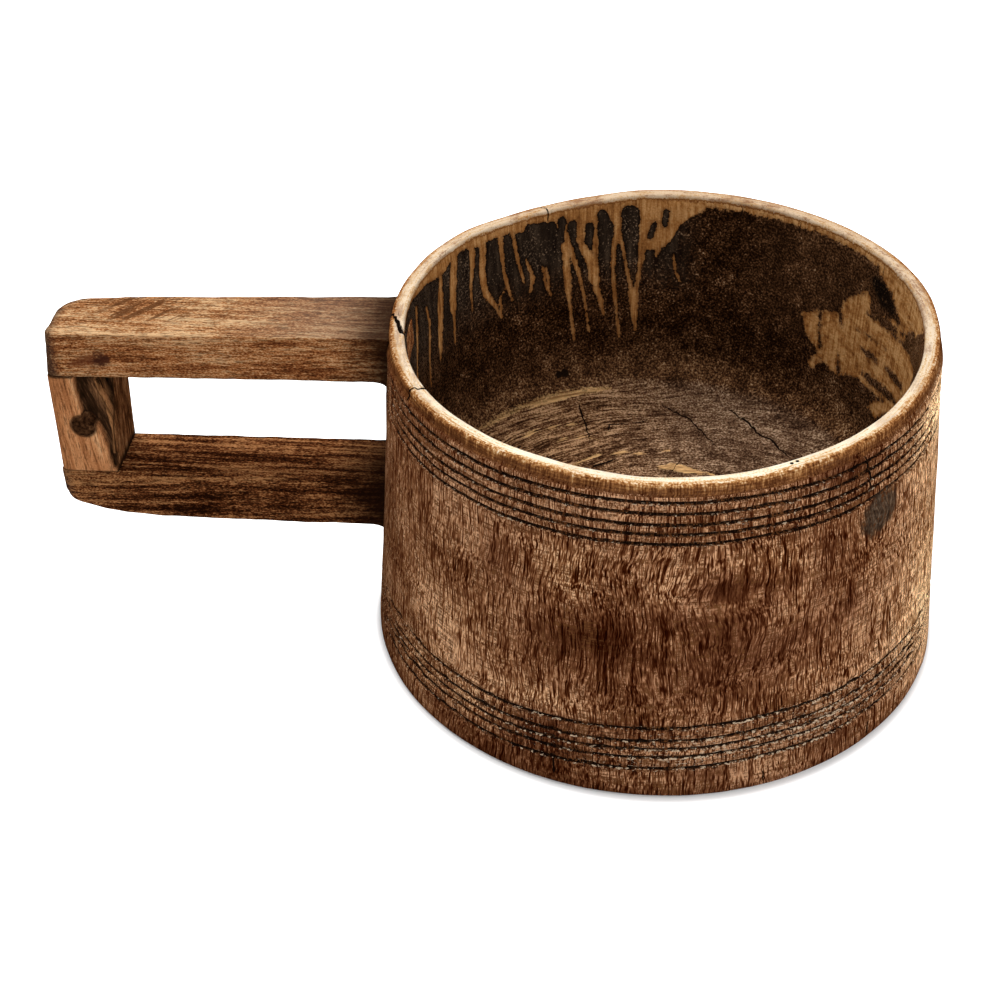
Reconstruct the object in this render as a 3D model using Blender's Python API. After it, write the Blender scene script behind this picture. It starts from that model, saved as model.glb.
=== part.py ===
# A handled wooden bowl, turned from one log, with a four-sided grip handle of two arms and an end post.
# Metres, +Z up. The base rests on z = 0 with its centre at the origin, and the handle points along -X.

import math

import bmesh
import bpy
from mathutils import Matrix, Vector

# Bowl
BOWL_HEIGHT = 0.1310
WALL_TOP_RADIUS = 0.0979      # outside, just under the rim
WALL_TAPER = 0.0074           # how much wider the wall is at its foot
FOOT_FLARE = 0.0032           # extra radius where the foot spreads to the base
FOOT_FLARE_HEIGHT = 0.0105
FOOT_EDGE = 0.0010            # worn edge around the base
RIM_HEIGHT = 0.0090           # the band above the wall that draws in to the rim
RIM_INSET = 0.0011
RIM_THICKNESS = 0.0056
RIM_CROWN = 0.0030            # height of the rounded top of the rim
INSIDE_TAPER = 0.0017         # how much narrower the hollow is at its foot
FLOOR_THICKNESS = 0.0465      # at the foot of the inside wall
FLOOR_FILLET = 0.0180
FLOOR_DISH = 0.0020           # how far the floor sinks towards its centre

# Turned grooves, in one band under the rim and one above the foot
GROOVE_COUNT = 5
GROOVE_WIDTH = 0.0017
GROOVE_DEPTH = 0.0012
UPPER_BAND_DROP = 0.0110      # from the rim to the first groove
UPPER_BAND_PITCH = 0.0039
LOWER_BAND_RISE = 0.0123      # from the base to the last groove
LOWER_BAND_PITCH = 0.0043

# Handle
UPPER_ARM_DROP = 0.0042       # from the rim to the arm's top
UPPER_ARM_THICKNESS = 0.0183
UPPER_ARM_WIDTH = 0.0284
LOWER_ARM_THICKNESS = 0.0206
LOWER_ARM_WIDTH = 0.0258
LOWER_ARM_TAPER = 0.0025      # how much thinner the lower arm gets at its outer end
GRIP_HEIGHT = 0.0429          # clear height between the arms
GRIP_LENGTH = 0.1023          # clear length between the bowl and the post
POST_DEPTH = 0.0205
POST_LEAN = 0.0030            # the post's foot stands this much further out
END_ROUND = 0.0165            # the handle's back corner, seen from above
END_FRONT_ROUND = 0.0020
LOWER_CORNER_ROUND = 0.0160   # the lower arm's outer corner, seen from the side
SPLIT_WIDTH = 0.0105          # the front inner edge of the post is split away, widest at its top
SPLIT_DEPTH = 0.0100
SPLIT_FOOT = 0.0050           # height above the post's foot where the split runs out

# Joinery
FIT_GAP = 0.0003
BOWL_TENON_WIDTH = 0.0160
BOWL_TENON_THICKNESS = 0.0105
LOWER_TENON_DEPTH = 0.0105
LOWER_TENON_DROP = 0.0030     # the lower tenon sits this far below its arm's middle
WEDGE_THICKNESS = 0.0024
WEDGE_TIP = 0.0010
WEDGE_LENGTH = 0.0055
POST_TENON_DEPTH = 0.0100
POST_TENON_WIDTH = 0.0120
POST_TENON_LENGTH = 0.0095
TENON_PEG_RADIUS = 0.0025
TENON_PEG_REACH = 0.0080      # how far each peg runs past the middle of its arm
POST_PEG_RADIUS = 0.0045
PEG_PROUD = 0.0004

# Fineness of the round shapes
TURNED_STEPS = 60
ROUND_STEPS = 6
FLARE_STEPS = 3
DISH_STEPS = 2
PEG_STEPS = 20
MERGE = 0.000001
OVERRUN = 0.0050              # how far a cutter or a joined block runs past the face it meets
SHARP_EDGE = math.radians(32)

# Levels and reaches that follow from the sizes above
rim_radius = WALL_TOP_RADIUS - RIM_INSET
inside_top_radius = rim_radius - RIM_THICKNESS
wall_top = BOWL_HEIGHT - RIM_HEIGHT
inside_top = BOWL_HEIGHT - RIM_CROWN
inside_foot = FLOOR_THICKNESS + FLOOR_FILLET
upper_arm_top = BOWL_HEIGHT - UPPER_ARM_DROP
upper_arm_foot = upper_arm_top - UPPER_ARM_THICKNESS
lower_arm_top = upper_arm_foot - GRIP_HEIGHT
lower_arm_foot = lower_arm_top - LOWER_ARM_THICKNESS


def outside_radius(z):
    # The foot's flare, then the straight taper of the wall, then the band below the rim.
    if z < FOOT_FLARE_HEIGHT:
        spread = (1 - z / FOOT_FLARE_HEIGHT) ** 2
        return WALL_TOP_RADIUS + WALL_TAPER + FOOT_FLARE * spread
    if z < wall_top:
        climb = (z - FOOT_FLARE_HEIGHT) / (wall_top - FOOT_FLARE_HEIGHT)
        return WALL_TOP_RADIUS + WALL_TAPER * (1 - climb)
    climb = min((z - wall_top) / (RIM_HEIGHT - RIM_CROWN), 1)
    return WALL_TOP_RADIUS - RIM_INSET * climb ** 2


def inside_radius(z):
    climb = (z - inside_foot) / (inside_top - inside_foot)
    return inside_top_radius - INSIDE_TAPER * (1 - climb)


grip_radius = outside_radius(upper_arm_foot)
arm_inner = grip_radius - OVERRUN
upper_reach = grip_radius + GRIP_LENGTH + POST_DEPTH
lower_reach = upper_reach + POST_LEAN


def link(name, bm, location=(0, 0, 0)):
    bmesh.ops.recalc_face_normals(bm, faces=bm.faces)
    mesh = bpy.data.meshes.new(name)
    bm.to_mesh(mesh)
    bm.free()
    piece = bpy.data.objects.new(name, mesh)
    piece.location = location
    bpy.context.collection.objects.link(piece)
    return piece


def turned(name, profile):
    # The profile runs from the axis to the axis, so the turned solid is closed.
    bm = bmesh.new()
    verts = [bm.verts.new((radius, 0, z)) for radius, z in profile]
    edges = [bm.edges.new(pair) for pair in zip(verts, verts[1:])]
    bmesh.ops.spin(bm, geom=verts + edges, cent=(0, 0, 0), axis=(0, 0, 1), angle=math.tau,
                   steps=TURNED_STEPS, use_merge=True)
    bmesh.ops.remove_doubles(bm, verts=bm.verts, dist=MERGE)
    return link(name, bm)


def lofted(first, second):
    # A solid between two loops of equally many points.
    bm = bmesh.new()
    near = [bm.verts.new(point) for point in first]
    far = [bm.verts.new(point) for point in second]
    bm.faces.new(near)
    bm.faces.new(far)
    for i in range(len(near)):
        j = (i + 1) % len(near)
        bm.faces.new((near[i], near[j], far[j], far[i]))
    return bm


def block(name, low, high):
    bm = bmesh.new()
    size = Vector(high) - Vector(low)
    centre = (Vector(high) + Vector(low)) / 2
    bmesh.ops.create_cube(bm, size=1, matrix=Matrix.Diagonal((*size, 1)))
    return link(name, bm, centre)


def dowel(name, radius, front, back, x, z):
    # A round peg along Y, with its origin in its middle.
    bm = bmesh.new()
    turn = Matrix.Rotation(math.pi / 2, 4, "X")
    bmesh.ops.create_cone(bm, cap_ends=True, segments=PEG_STEPS, radius1=radius, radius2=radius,
                          depth=back - front, matrix=turn)
    return link(name, bm, (x, (front + back) / 2, z))


def combine(piece, tool, operation):
    tool.hide_render = True
    tool.display_type = "WIRE"
    step = piece.modifiers.new(tool.name, "BOOLEAN")
    step.operation = operation
    step.object = tool
    step.solver = "EXACT"


def finish(piece, colour, roughness):
    material = bpy.data.materials.new(piece.name)
    material.use_nodes = True
    shader = material.node_tree.nodes["Principled BSDF"]
    shader.inputs["Base Color"].default_value = (*colour, 1)
    shader.inputs["Roughness"].default_value = roughness
    shader.inputs["Metallic"].default_value = 0
    piece.data.materials.append(material)


def groove_points(z):
    # One groove, from its lower edge to its upper edge.
    half = GROOVE_WIDTH / 2
    return [
        (outside_radius(z - half), z - half),
        (outside_radius(z) - GROOVE_DEPTH, z),
        (outside_radius(z + half), z + half),
    ]


def bowl_profile():
    points = [(0, 0), (outside_radius(0) - FOOT_EDGE, 0)]
    for i in range(FLARE_STEPS):
        z = FOOT_EDGE + (FOOT_FLARE_HEIGHT - FOOT_EDGE) * i / FLARE_STEPS
        points.append((outside_radius(z), z))
    for i in range(GROOVE_COUNT):
        points += groove_points(LOWER_BAND_RISE + LOWER_BAND_PITCH * i)
    for i in reversed(range(GROOVE_COUNT)):
        points += groove_points(BOWL_HEIGHT - UPPER_BAND_DROP - UPPER_BAND_PITCH * i)
    points.append((outside_radius(wall_top), wall_top))
    middle = rim_radius - RIM_THICKNESS / 2
    for i in range(ROUND_STEPS + 1):
        angle = math.pi * i / ROUND_STEPS
        radius = middle + RIM_THICKNESS / 2 * math.cos(angle)
        points.append((radius, inside_top + RIM_CROWN * math.sin(angle)))
    fillet_centre = inside_radius(inside_foot) - FLOOR_FILLET
    for i in range(ROUND_STEPS + 1):
        angle = math.pi / 2 * i / ROUND_STEPS
        radius = fillet_centre + FLOOR_FILLET * math.cos(angle)
        points.append((radius, inside_foot - FLOOR_FILLET * math.sin(angle)))
    for i in reversed(range(DISH_STEPS)):
        share = i / DISH_STEPS
        points.append((fillet_centre * share, FLOOR_THICKNESS - FLOOR_DISH * (1 - share ** 2)))
    return points


def seat_profile():
    # The bowl's plain outside, without grooves, grown by the fitting gap.
    levels = [FOOT_FLARE_HEIGHT * i / FLARE_STEPS for i in range(FLARE_STEPS)]
    levels += [FOOT_FLARE_HEIGHT, wall_top, inside_top]
    points = [(0, 0)]
    points += [(outside_radius(z) + FIT_GAP, z) for z in levels]
    points.append((rim_radius + FIT_GAP, BOWL_HEIGHT + OVERRUN))
    points.append((0, BOWL_HEIGHT + OVERRUN))
    return points


def end_outline(inner, reach, width, z):
    # Seen from above: square at the bowl, a tight front corner and a wide back corner at the outer end.
    half = width / 2
    points = [(-inner, half, z), (-inner, -half, z)]
    for i in range(ROUND_STEPS + 1):
        angle = math.pi / 2 * i / ROUND_STEPS
        points.append((
            -(reach - END_FRONT_ROUND) - END_FRONT_ROUND * math.sin(angle),
            -(half - END_FRONT_ROUND) - END_FRONT_ROUND * math.cos(angle),
            z,
        ))
    for i in range(ROUND_STEPS + 1):
        angle = math.pi / 2 * i / ROUND_STEPS
        points.append((
            -(reach - END_ROUND) - END_ROUND * math.cos(angle),
            half - END_ROUND + END_ROUND * math.sin(angle),
            z,
        ))
    return points


def lower_arm_underside(y):
    # Seen from the front: what is cut away below the arm, whose underside rises to a round outer corner.
    corner_z = lower_arm_foot + LOWER_ARM_TAPER + LOWER_CORNER_ROUND
    below = lower_arm_foot - OVERRUN * 2
    beyond = lower_reach + OVERRUN
    points = [(-arm_inner + OVERRUN, y, below), (-arm_inner + OVERRUN, y, lower_arm_foot)]
    for i in range(ROUND_STEPS + 1):
        angle = math.pi / 2 * i / ROUND_STEPS
        points.append((
            -(lower_reach - LOWER_CORNER_ROUND) - LOWER_CORNER_ROUND * math.sin(angle),
            y,
            corner_z - LOWER_CORNER_ROUND * math.cos(angle),
        ))
    points += [(-beyond, y, corner_z), (-beyond, y, below)]
    return points


def post_tenon(name, x, low, high, gap):
    half_depth = POST_TENON_DEPTH / 2 + gap
    half_width = POST_TENON_WIDTH / 2 + gap
    return block(name, (x - half_depth, -half_width, low), (x + half_depth, half_width, high))


def bowl_tenon(name, inner, outer, z, gap):
    half_width = BOWL_TENON_WIDTH / 2 + gap
    half_thickness = BOWL_TENON_THICKNESS / 2 + gap
    return block(name, (-outer, -half_width, z - half_thickness), (-inner, half_width, z + half_thickness))


def wedge_loop(x, half_width, thickness, z):
    half = thickness / 2
    corners = ((-half_width, -half), (half_width, -half), (half_width, half), (-half_width, half))
    return [(x, y, z + rise) for y, rise in corners]


for old in list(bpy.data.objects):
    bpy.data.objects.remove(old, do_unlink=True)

# Bowl, with a through mortise for the upper arm and a blind one for the lower arm
bowl_body = turned("bowl_body", bowl_profile())
upper_tenon_z = upper_arm_top - UPPER_ARM_THICKNESS / 2
lower_tenon_z = lower_arm_foot + LOWER_ARM_THICKNESS / 2 - LOWER_TENON_DROP
upper_tenon_end = inside_radius(upper_tenon_z)
lower_tenon_root = outside_radius(lower_tenon_z)
lower_tenon_end = lower_tenon_root - LOWER_TENON_DEPTH
upper_mortise = bowl_tenon("upper_mortise", upper_tenon_end - OVERRUN, grip_radius + OVERRUN,
                           upper_tenon_z, FIT_GAP)
lower_mortise = bowl_tenon("lower_mortise", lower_tenon_end - FIT_GAP, lower_tenon_root + OVERRUN,
                           lower_tenon_z, FIT_GAP)
combine(bowl_body, upper_mortise, "DIFFERENCE")
combine(bowl_body, lower_mortise, "DIFFERENCE")
finish(bowl_body, (0.20, 0.095, 0.038), 0.55)

# The arms' shoulders fit the bowl's outside
bowl_seat = turned("bowl_seat", seat_profile())

# Upper arm: its tenon goes through the bowl's wall and is split for a wedge
upper_low = end_outline(arm_inner, upper_reach, UPPER_ARM_WIDTH, upper_arm_foot)
upper_high = end_outline(arm_inner, upper_reach, UPPER_ARM_WIDTH, upper_arm_top)
handle_upper_arm = link("handle_upper_arm", lofted(upper_low, upper_high))
combine(handle_upper_arm, bowl_seat, "DIFFERENCE")
upper_tenon = bowl_tenon("upper_tenon", upper_tenon_end + FIT_GAP, grip_radius + OVERRUN, upper_tenon_z, 0)
combine(handle_upper_arm, upper_tenon, "UNION")

wedge_end = -(upper_tenon_end + FIT_GAP)
wedge_tip = wedge_end - WEDGE_LENGTH
wedge_half = BOWL_TENON_WIDTH / 2
upper_tenon_wedge = link("upper_tenon_wedge", lofted(
    wedge_loop(wedge_end, wedge_half, WEDGE_THICKNESS, upper_tenon_z),
    wedge_loop(wedge_tip, wedge_half, WEDGE_TIP, upper_tenon_z),
))
wedge_slope = (WEDGE_THICKNESS - WEDGE_TIP) / WEDGE_LENGTH
wedge_slot = link("wedge_slot", lofted(
    wedge_loop(wedge_end + OVERRUN, wedge_half + OVERRUN,
               WEDGE_THICKNESS + wedge_slope * OVERRUN + FIT_GAP * 2, upper_tenon_z),
    wedge_loop(wedge_tip - FIT_GAP, wedge_half + OVERRUN, WEDGE_TIP + FIT_GAP * 2, upper_tenon_z),
))
combine(handle_upper_arm, wedge_slot, "DIFFERENCE")
finish(handle_upper_arm, (0.25, 0.13, 0.055), 0.5)
finish(upper_tenon_wedge, (0.12, 0.06, 0.03), 0.6)

# Lower arm: a blind tenon in the thick foot of the wall, and a rounded outer corner
lower_low = end_outline(arm_inner, lower_reach, LOWER_ARM_WIDTH, lower_arm_foot - OVERRUN)
lower_high = end_outline(arm_inner, lower_reach, LOWER_ARM_WIDTH, lower_arm_top)
handle_lower_arm = link("handle_lower_arm", lofted(lower_low, lower_high))
underside = link("underside", lofted(
    lower_arm_underside(-LOWER_ARM_WIDTH),
    lower_arm_underside(LOWER_ARM_WIDTH),
))
combine(handle_lower_arm, underside, "DIFFERENCE")
combine(handle_lower_arm, bowl_seat, "DIFFERENCE")
lower_tenon = bowl_tenon("lower_tenon", lower_tenon_end, lower_tenon_root + OVERRUN, lower_tenon_z, 0)
combine(handle_lower_arm, lower_tenon, "UNION")
finish(handle_lower_arm, (0.15, 0.07, 0.03), 0.5)

# End post between the arms, its front inner edge split away, with a stub tenon at each end
post_low = lower_arm_top + FIT_GAP
post_high = upper_arm_foot - FIT_GAP
lower_inner = lower_reach - POST_DEPTH
upper_inner = upper_reach - POST_DEPTH
post = lofted(
    end_outline(lower_inner, lower_reach, LOWER_ARM_WIDTH, post_low),
    end_outline(upper_inner, upper_reach, UPPER_ARM_WIDTH, post_high),
)
split_front = Vector((-upper_inner - SPLIT_WIDTH, -UPPER_ARM_WIDTH / 2, post_high))
split_inner = Vector((-upper_inner, -UPPER_ARM_WIDTH / 2 + SPLIT_DEPTH, post_high))
foot_corner = Vector((-lower_inner, -LOWER_ARM_WIDTH / 2, post_low))
head_corner = Vector((-upper_inner, -UPPER_ARM_WIDTH / 2, post_high))
split_end = foot_corner.lerp(head_corner, SPLIT_FOOT / (post_high - post_low))
split_normal = (split_inner - split_front).cross(split_end - split_front)
if split_normal.dot(head_corner - split_front) < 0:
    split_normal.negate()
bmesh.ops.bisect_plane(post, geom=post.verts[:] + post.edges[:] + post.faces[:], dist=MERGE,
                       plane_co=split_front, plane_no=split_normal, clear_outer=True)
bmesh.ops.holes_fill(post, edges=post.edges)
handle_end_post = link("handle_end_post", post)

upper_joint_x = -(upper_reach - POST_DEPTH / 2)
lower_joint_x = -(lower_reach - POST_DEPTH / 2)
tenon_high = upper_arm_foot + POST_TENON_LENGTH
tenon_low = lower_arm_top - POST_TENON_LENGTH
upper_stub = post_tenon("upper_stub", upper_joint_x, post_high - OVERRUN, tenon_high, 0)
lower_stub = post_tenon("lower_stub", lower_joint_x, tenon_low, post_low + OVERRUN, 0)
combine(handle_end_post, upper_stub, "UNION")
combine(handle_end_post, lower_stub, "UNION")
upper_end_mortise = post_tenon("upper_end_mortise", upper_joint_x, upper_arm_foot - OVERRUN,
                               tenon_high + FIT_GAP, FIT_GAP)
lower_end_mortise = post_tenon("lower_end_mortise", lower_joint_x, tenon_low - FIT_GAP,
                               lower_arm_top + OVERRUN, FIT_GAP)
combine(handle_upper_arm, upper_end_mortise, "DIFFERENCE")
combine(handle_lower_arm, lower_end_mortise, "DIFFERENCE")
finish(handle_end_post, (0.30, 0.15, 0.06), 0.55)

# Pegs driven from the back of each arm through the post's tenons
upper_peg_z = upper_arm_foot + POST_TENON_LENGTH / 2
lower_peg_z = lower_arm_top - POST_TENON_LENGTH / 2
tenon_joints = (
    ("upper_arm_peg", handle_upper_arm, UPPER_ARM_WIDTH, upper_joint_x, upper_peg_z),
    ("lower_arm_peg", handle_lower_arm, LOWER_ARM_WIDTH, lower_joint_x, lower_peg_z),
)
for peg_name, arm, width, x, z in tenon_joints:
    peg = dowel(peg_name, TENON_PEG_RADIUS, -TENON_PEG_REACH, width / 2 + PEG_PROUD, x, z)
    hole = dowel(peg_name + "_hole", TENON_PEG_RADIUS + FIT_GAP, -TENON_PEG_REACH - FIT_GAP,
                 width / 2 + OVERRUN, x, z)
    combine(arm, hole, "DIFFERENCE")
    combine(handle_end_post, hole, "DIFFERENCE")
    finish(peg, (0.10, 0.05, 0.025), 0.6)

# The round peg through the middle of the post
post_half = (UPPER_ARM_WIDTH + LOWER_ARM_WIDTH) / 4
post_peg_x = (upper_joint_x + lower_joint_x) / 2
post_peg_z = (post_low + post_high) / 2
post_peg = dowel("post_peg", POST_PEG_RADIUS, -post_half - PEG_PROUD, post_half + PEG_PROUD,
                 post_peg_x, post_peg_z)
post_peg_hole = dowel("post_peg_hole", POST_PEG_RADIUS + FIT_GAP, -post_half - OVERRUN, post_half + OVERRUN,
                      post_peg_x, post_peg_z)
combine(handle_end_post, post_peg_hole, "DIFFERENCE")
finish(post_peg, (0.06, 0.03, 0.016), 0.65)

# Round pieces are shaded smooth, with their edges kept sharp
for piece in bpy.data.objects:
    piece.data.shade_smooth()
    piece.data.set_sharp_from_angle(angle=SHARP_EDGE)
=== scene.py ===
import math
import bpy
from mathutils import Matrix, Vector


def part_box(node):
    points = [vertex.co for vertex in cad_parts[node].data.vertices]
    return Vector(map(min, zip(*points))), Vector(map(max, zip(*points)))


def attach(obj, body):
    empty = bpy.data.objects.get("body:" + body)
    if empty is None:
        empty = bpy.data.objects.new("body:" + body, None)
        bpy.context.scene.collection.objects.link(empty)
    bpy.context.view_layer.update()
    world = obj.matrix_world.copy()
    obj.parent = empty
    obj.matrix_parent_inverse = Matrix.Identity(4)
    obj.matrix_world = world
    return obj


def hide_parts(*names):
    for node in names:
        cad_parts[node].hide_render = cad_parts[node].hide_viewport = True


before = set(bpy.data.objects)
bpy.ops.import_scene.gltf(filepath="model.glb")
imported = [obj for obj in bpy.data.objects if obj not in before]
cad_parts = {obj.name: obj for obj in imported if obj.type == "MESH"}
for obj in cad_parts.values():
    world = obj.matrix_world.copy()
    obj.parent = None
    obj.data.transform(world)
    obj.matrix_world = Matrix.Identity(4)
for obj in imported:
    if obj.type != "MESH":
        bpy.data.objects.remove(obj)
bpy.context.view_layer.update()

from types import SimpleNamespace

import bpy
import numpy as np
from mathutils import Matrix, Vector, noise

mm = 0.001
degree = math.radians(1)
tiny = 1e-6    # as good as nothing


# small helpers for selecting, reading and writing meshes

def clearSelection():
    if bpy.context.mode != "OBJECT":
        bpy.ops.object.mode_set(mode="OBJECT")
    bpy.ops.object.select_all(action="DESELECT")


def makeActive(piece):
    clearSelection()
    piece.select_set(True)
    bpy.context.view_layer.objects.active = piece


def takeNew(name):
    piece = bpy.context.active_object
    piece.name = name
    piece.data.name = name
    return piece


def edgeEnds(piece):
    ends = np.zeros(len(piece.data.edges) * 2, np.int32)
    piece.data.edges.foreach_get("vertices", ends)
    return ends.reshape(-1, 2)


def readVectors(layer, key):
    flat = np.zeros(len(layer) * 3, np.float32)
    layer.foreach_get(key, flat)
    return flat.reshape(-1, 3).astype(float)


def readPoints(piece):
    return readVectors(piece.data.vertices, "co")


def readNormals(piece):
    return readVectors(piece.data.vertex_normals, "vector")


def writePoints(piece, points):
    piece.data.vertices.foreach_set("co", points.astype(np.float32).ravel())
    piece.data.update()


def keepMaps(piece, **maps):
    # one number, or one vector, for each vertex, for the materials to read
    for name, values in maps.items():
        kind, key = ("FLOAT_VECTOR", "vector") if values.ndim == 2 else ("FLOAT", "value")
        layer = piece.data.attributes.new(name, kind, "POINT")
        layer.data.foreach_set(key, values.astype(np.float32).ravel())


def readRings(piece):
    # which point of the spun profile each vertex came from
    values = np.zeros(len(piece.data.vertices), np.float32)
    piece.data.attributes["ring"].data.foreach_get("value", values)
    return np.round(values).astype(int)


def lumps(points, size, shift=0.0):
    # smooth noise from -1 to 1 with one lump about every `size`
    offset = Vector((shift, shift * 1.7, shift * 0.6))
    return np.array([noise.noise(Vector(p) / size + offset) for p in points])


def shake(points, size, shift, squeeze=(1, 1, 1)):
    # a smooth push along X, Y and Z, drawn out where the points are squeezed
    return np.stack([lumps(points * squeeze, size, shift + i) for i in range(3)], 1)


def ease(low, high, values):
    t = np.clip((values - low) / (high - low), 0, 1)
    return t * t * (3 - 2 * t)


def follow(pairs, values):
    # reads a line that is given as (place, amount) pairs
    places, amounts = zip(*pairs)
    return np.interp(values, places, amounts)


def besideLine(x, y, start, end):
    # how far along a line, from 0 to 1, and how far from it
    dx, dy = end[0] - start[0], end[1] - start[1]
    t = np.clip(((x - start[0]) * dx + (y - start[1]) * dy) / (dx * dx + dy * dy), 0, 1)
    return t, np.hypot(x - start[0] - t * dx, y - start[1] - t * dy)


def strokeDistance(x, y, stroke):
    # signed distance to a brush stroke of (x, y, width) points, negative inside it
    best = np.full(len(x), np.inf)
    for start, end in zip(stroke, stroke[1:]):
        t, away = besideLine(x, y, start, end)
        best = np.minimum(best, away - (start[2] + (end[2] - start[2]) * t) / 2)
    return best


def outlineDistance(x, y, outline):
    # signed distance to a closed outline, negative inside it
    best = np.full(len(x), np.inf)
    inside = np.zeros(len(x), bool)
    for start, end in zip(outline, outline[1:] + outline[:1]):
        best = np.minimum(best, besideLine(x, y, start, end)[1])
        (x0, y0), (x1, y1) = start, end
        if y0 != y1:
            inside ^= ((y0 > y) != (y1 > y)) & (x < (x1 - x0) * (y - y0) / (y1 - y0) + x0)
    return np.where(inside, -best, best)


def faceOutwards():
    # for the mesh that is in edit mode
    bpy.ops.mesh.select_all(action="SELECT")
    bpy.ops.mesh.normals_make_consistent(inside=False)
    bpy.ops.object.mode_set(mode="OBJECT")


def spinProfile(name, profile, steps):
    # a point is extruded along the profile (radius, height) and spun round Z
    clearSelection()
    bpy.ops.mesh.primitive_plane_add(size=1)
    piece = takeNew(name)
    bpy.ops.object.mode_set(mode="EDIT")
    bpy.ops.mesh.select_mode(type="VERT")
    bpy.ops.mesh.select_all(action="SELECT")
    bpy.ops.mesh.merge(type="CENTER")
    bpy.ops.transform.translate(value=(profile[0][0], 0, profile[0][1]))
    for (r0, z0), (r1, z1) in zip(profile, profile[1:]):
        bpy.ops.mesh.extrude_region_move(TRANSFORM_OT_translate={"value": (r1 - r0, 0, z1 - z0)})
    bpy.ops.object.mode_set(mode="OBJECT")
    keepMaps(piece, ring=np.arange(len(profile), dtype=float))
    bpy.ops.object.mode_set(mode="EDIT")
    bpy.ops.mesh.select_all(action="SELECT")
    bpy.ops.mesh.spin(steps=steps, angle=math.tau, center=(0, 0, 0), axis=(0, 0, 1), use_auto_merge=True)
    bpy.ops.mesh.select_all(action="SELECT")
    bpy.ops.mesh.remove_doubles(threshold=tiny)
    faceOutwards()
    return piece


def cutEdges(piece, chosen, cuts):
    # subdivides only the chosen edges
    makeActive(piece)
    bpy.ops.object.mode_set(mode="EDIT")
    bpy.ops.mesh.select_mode(type="EDGE")
    bpy.ops.mesh.select_all(action="DESELECT")
    bpy.ops.object.mode_set(mode="OBJECT")
    piece.data.edges.foreach_set("select", chosen)
    bpy.ops.object.mode_set(mode="EDIT")
    bpy.ops.mesh.subdivide(number_cuts=cuts)
    bpy.ops.mesh.select_mode(type="VERT")
    bpy.ops.object.mode_set(mode="OBJECT")


def finishPiece(piece, node, material):
    piece.data.materials.clear()
    piece.data.materials.append(material)
    makeActive(piece)
    bpy.ops.object.shade_smooth()
    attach(piece, "root")
    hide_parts(node)


# nodes for the materials

glossTint = (1.0, 0.5, 0.25)    # the little shine that the wood has is brown


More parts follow.
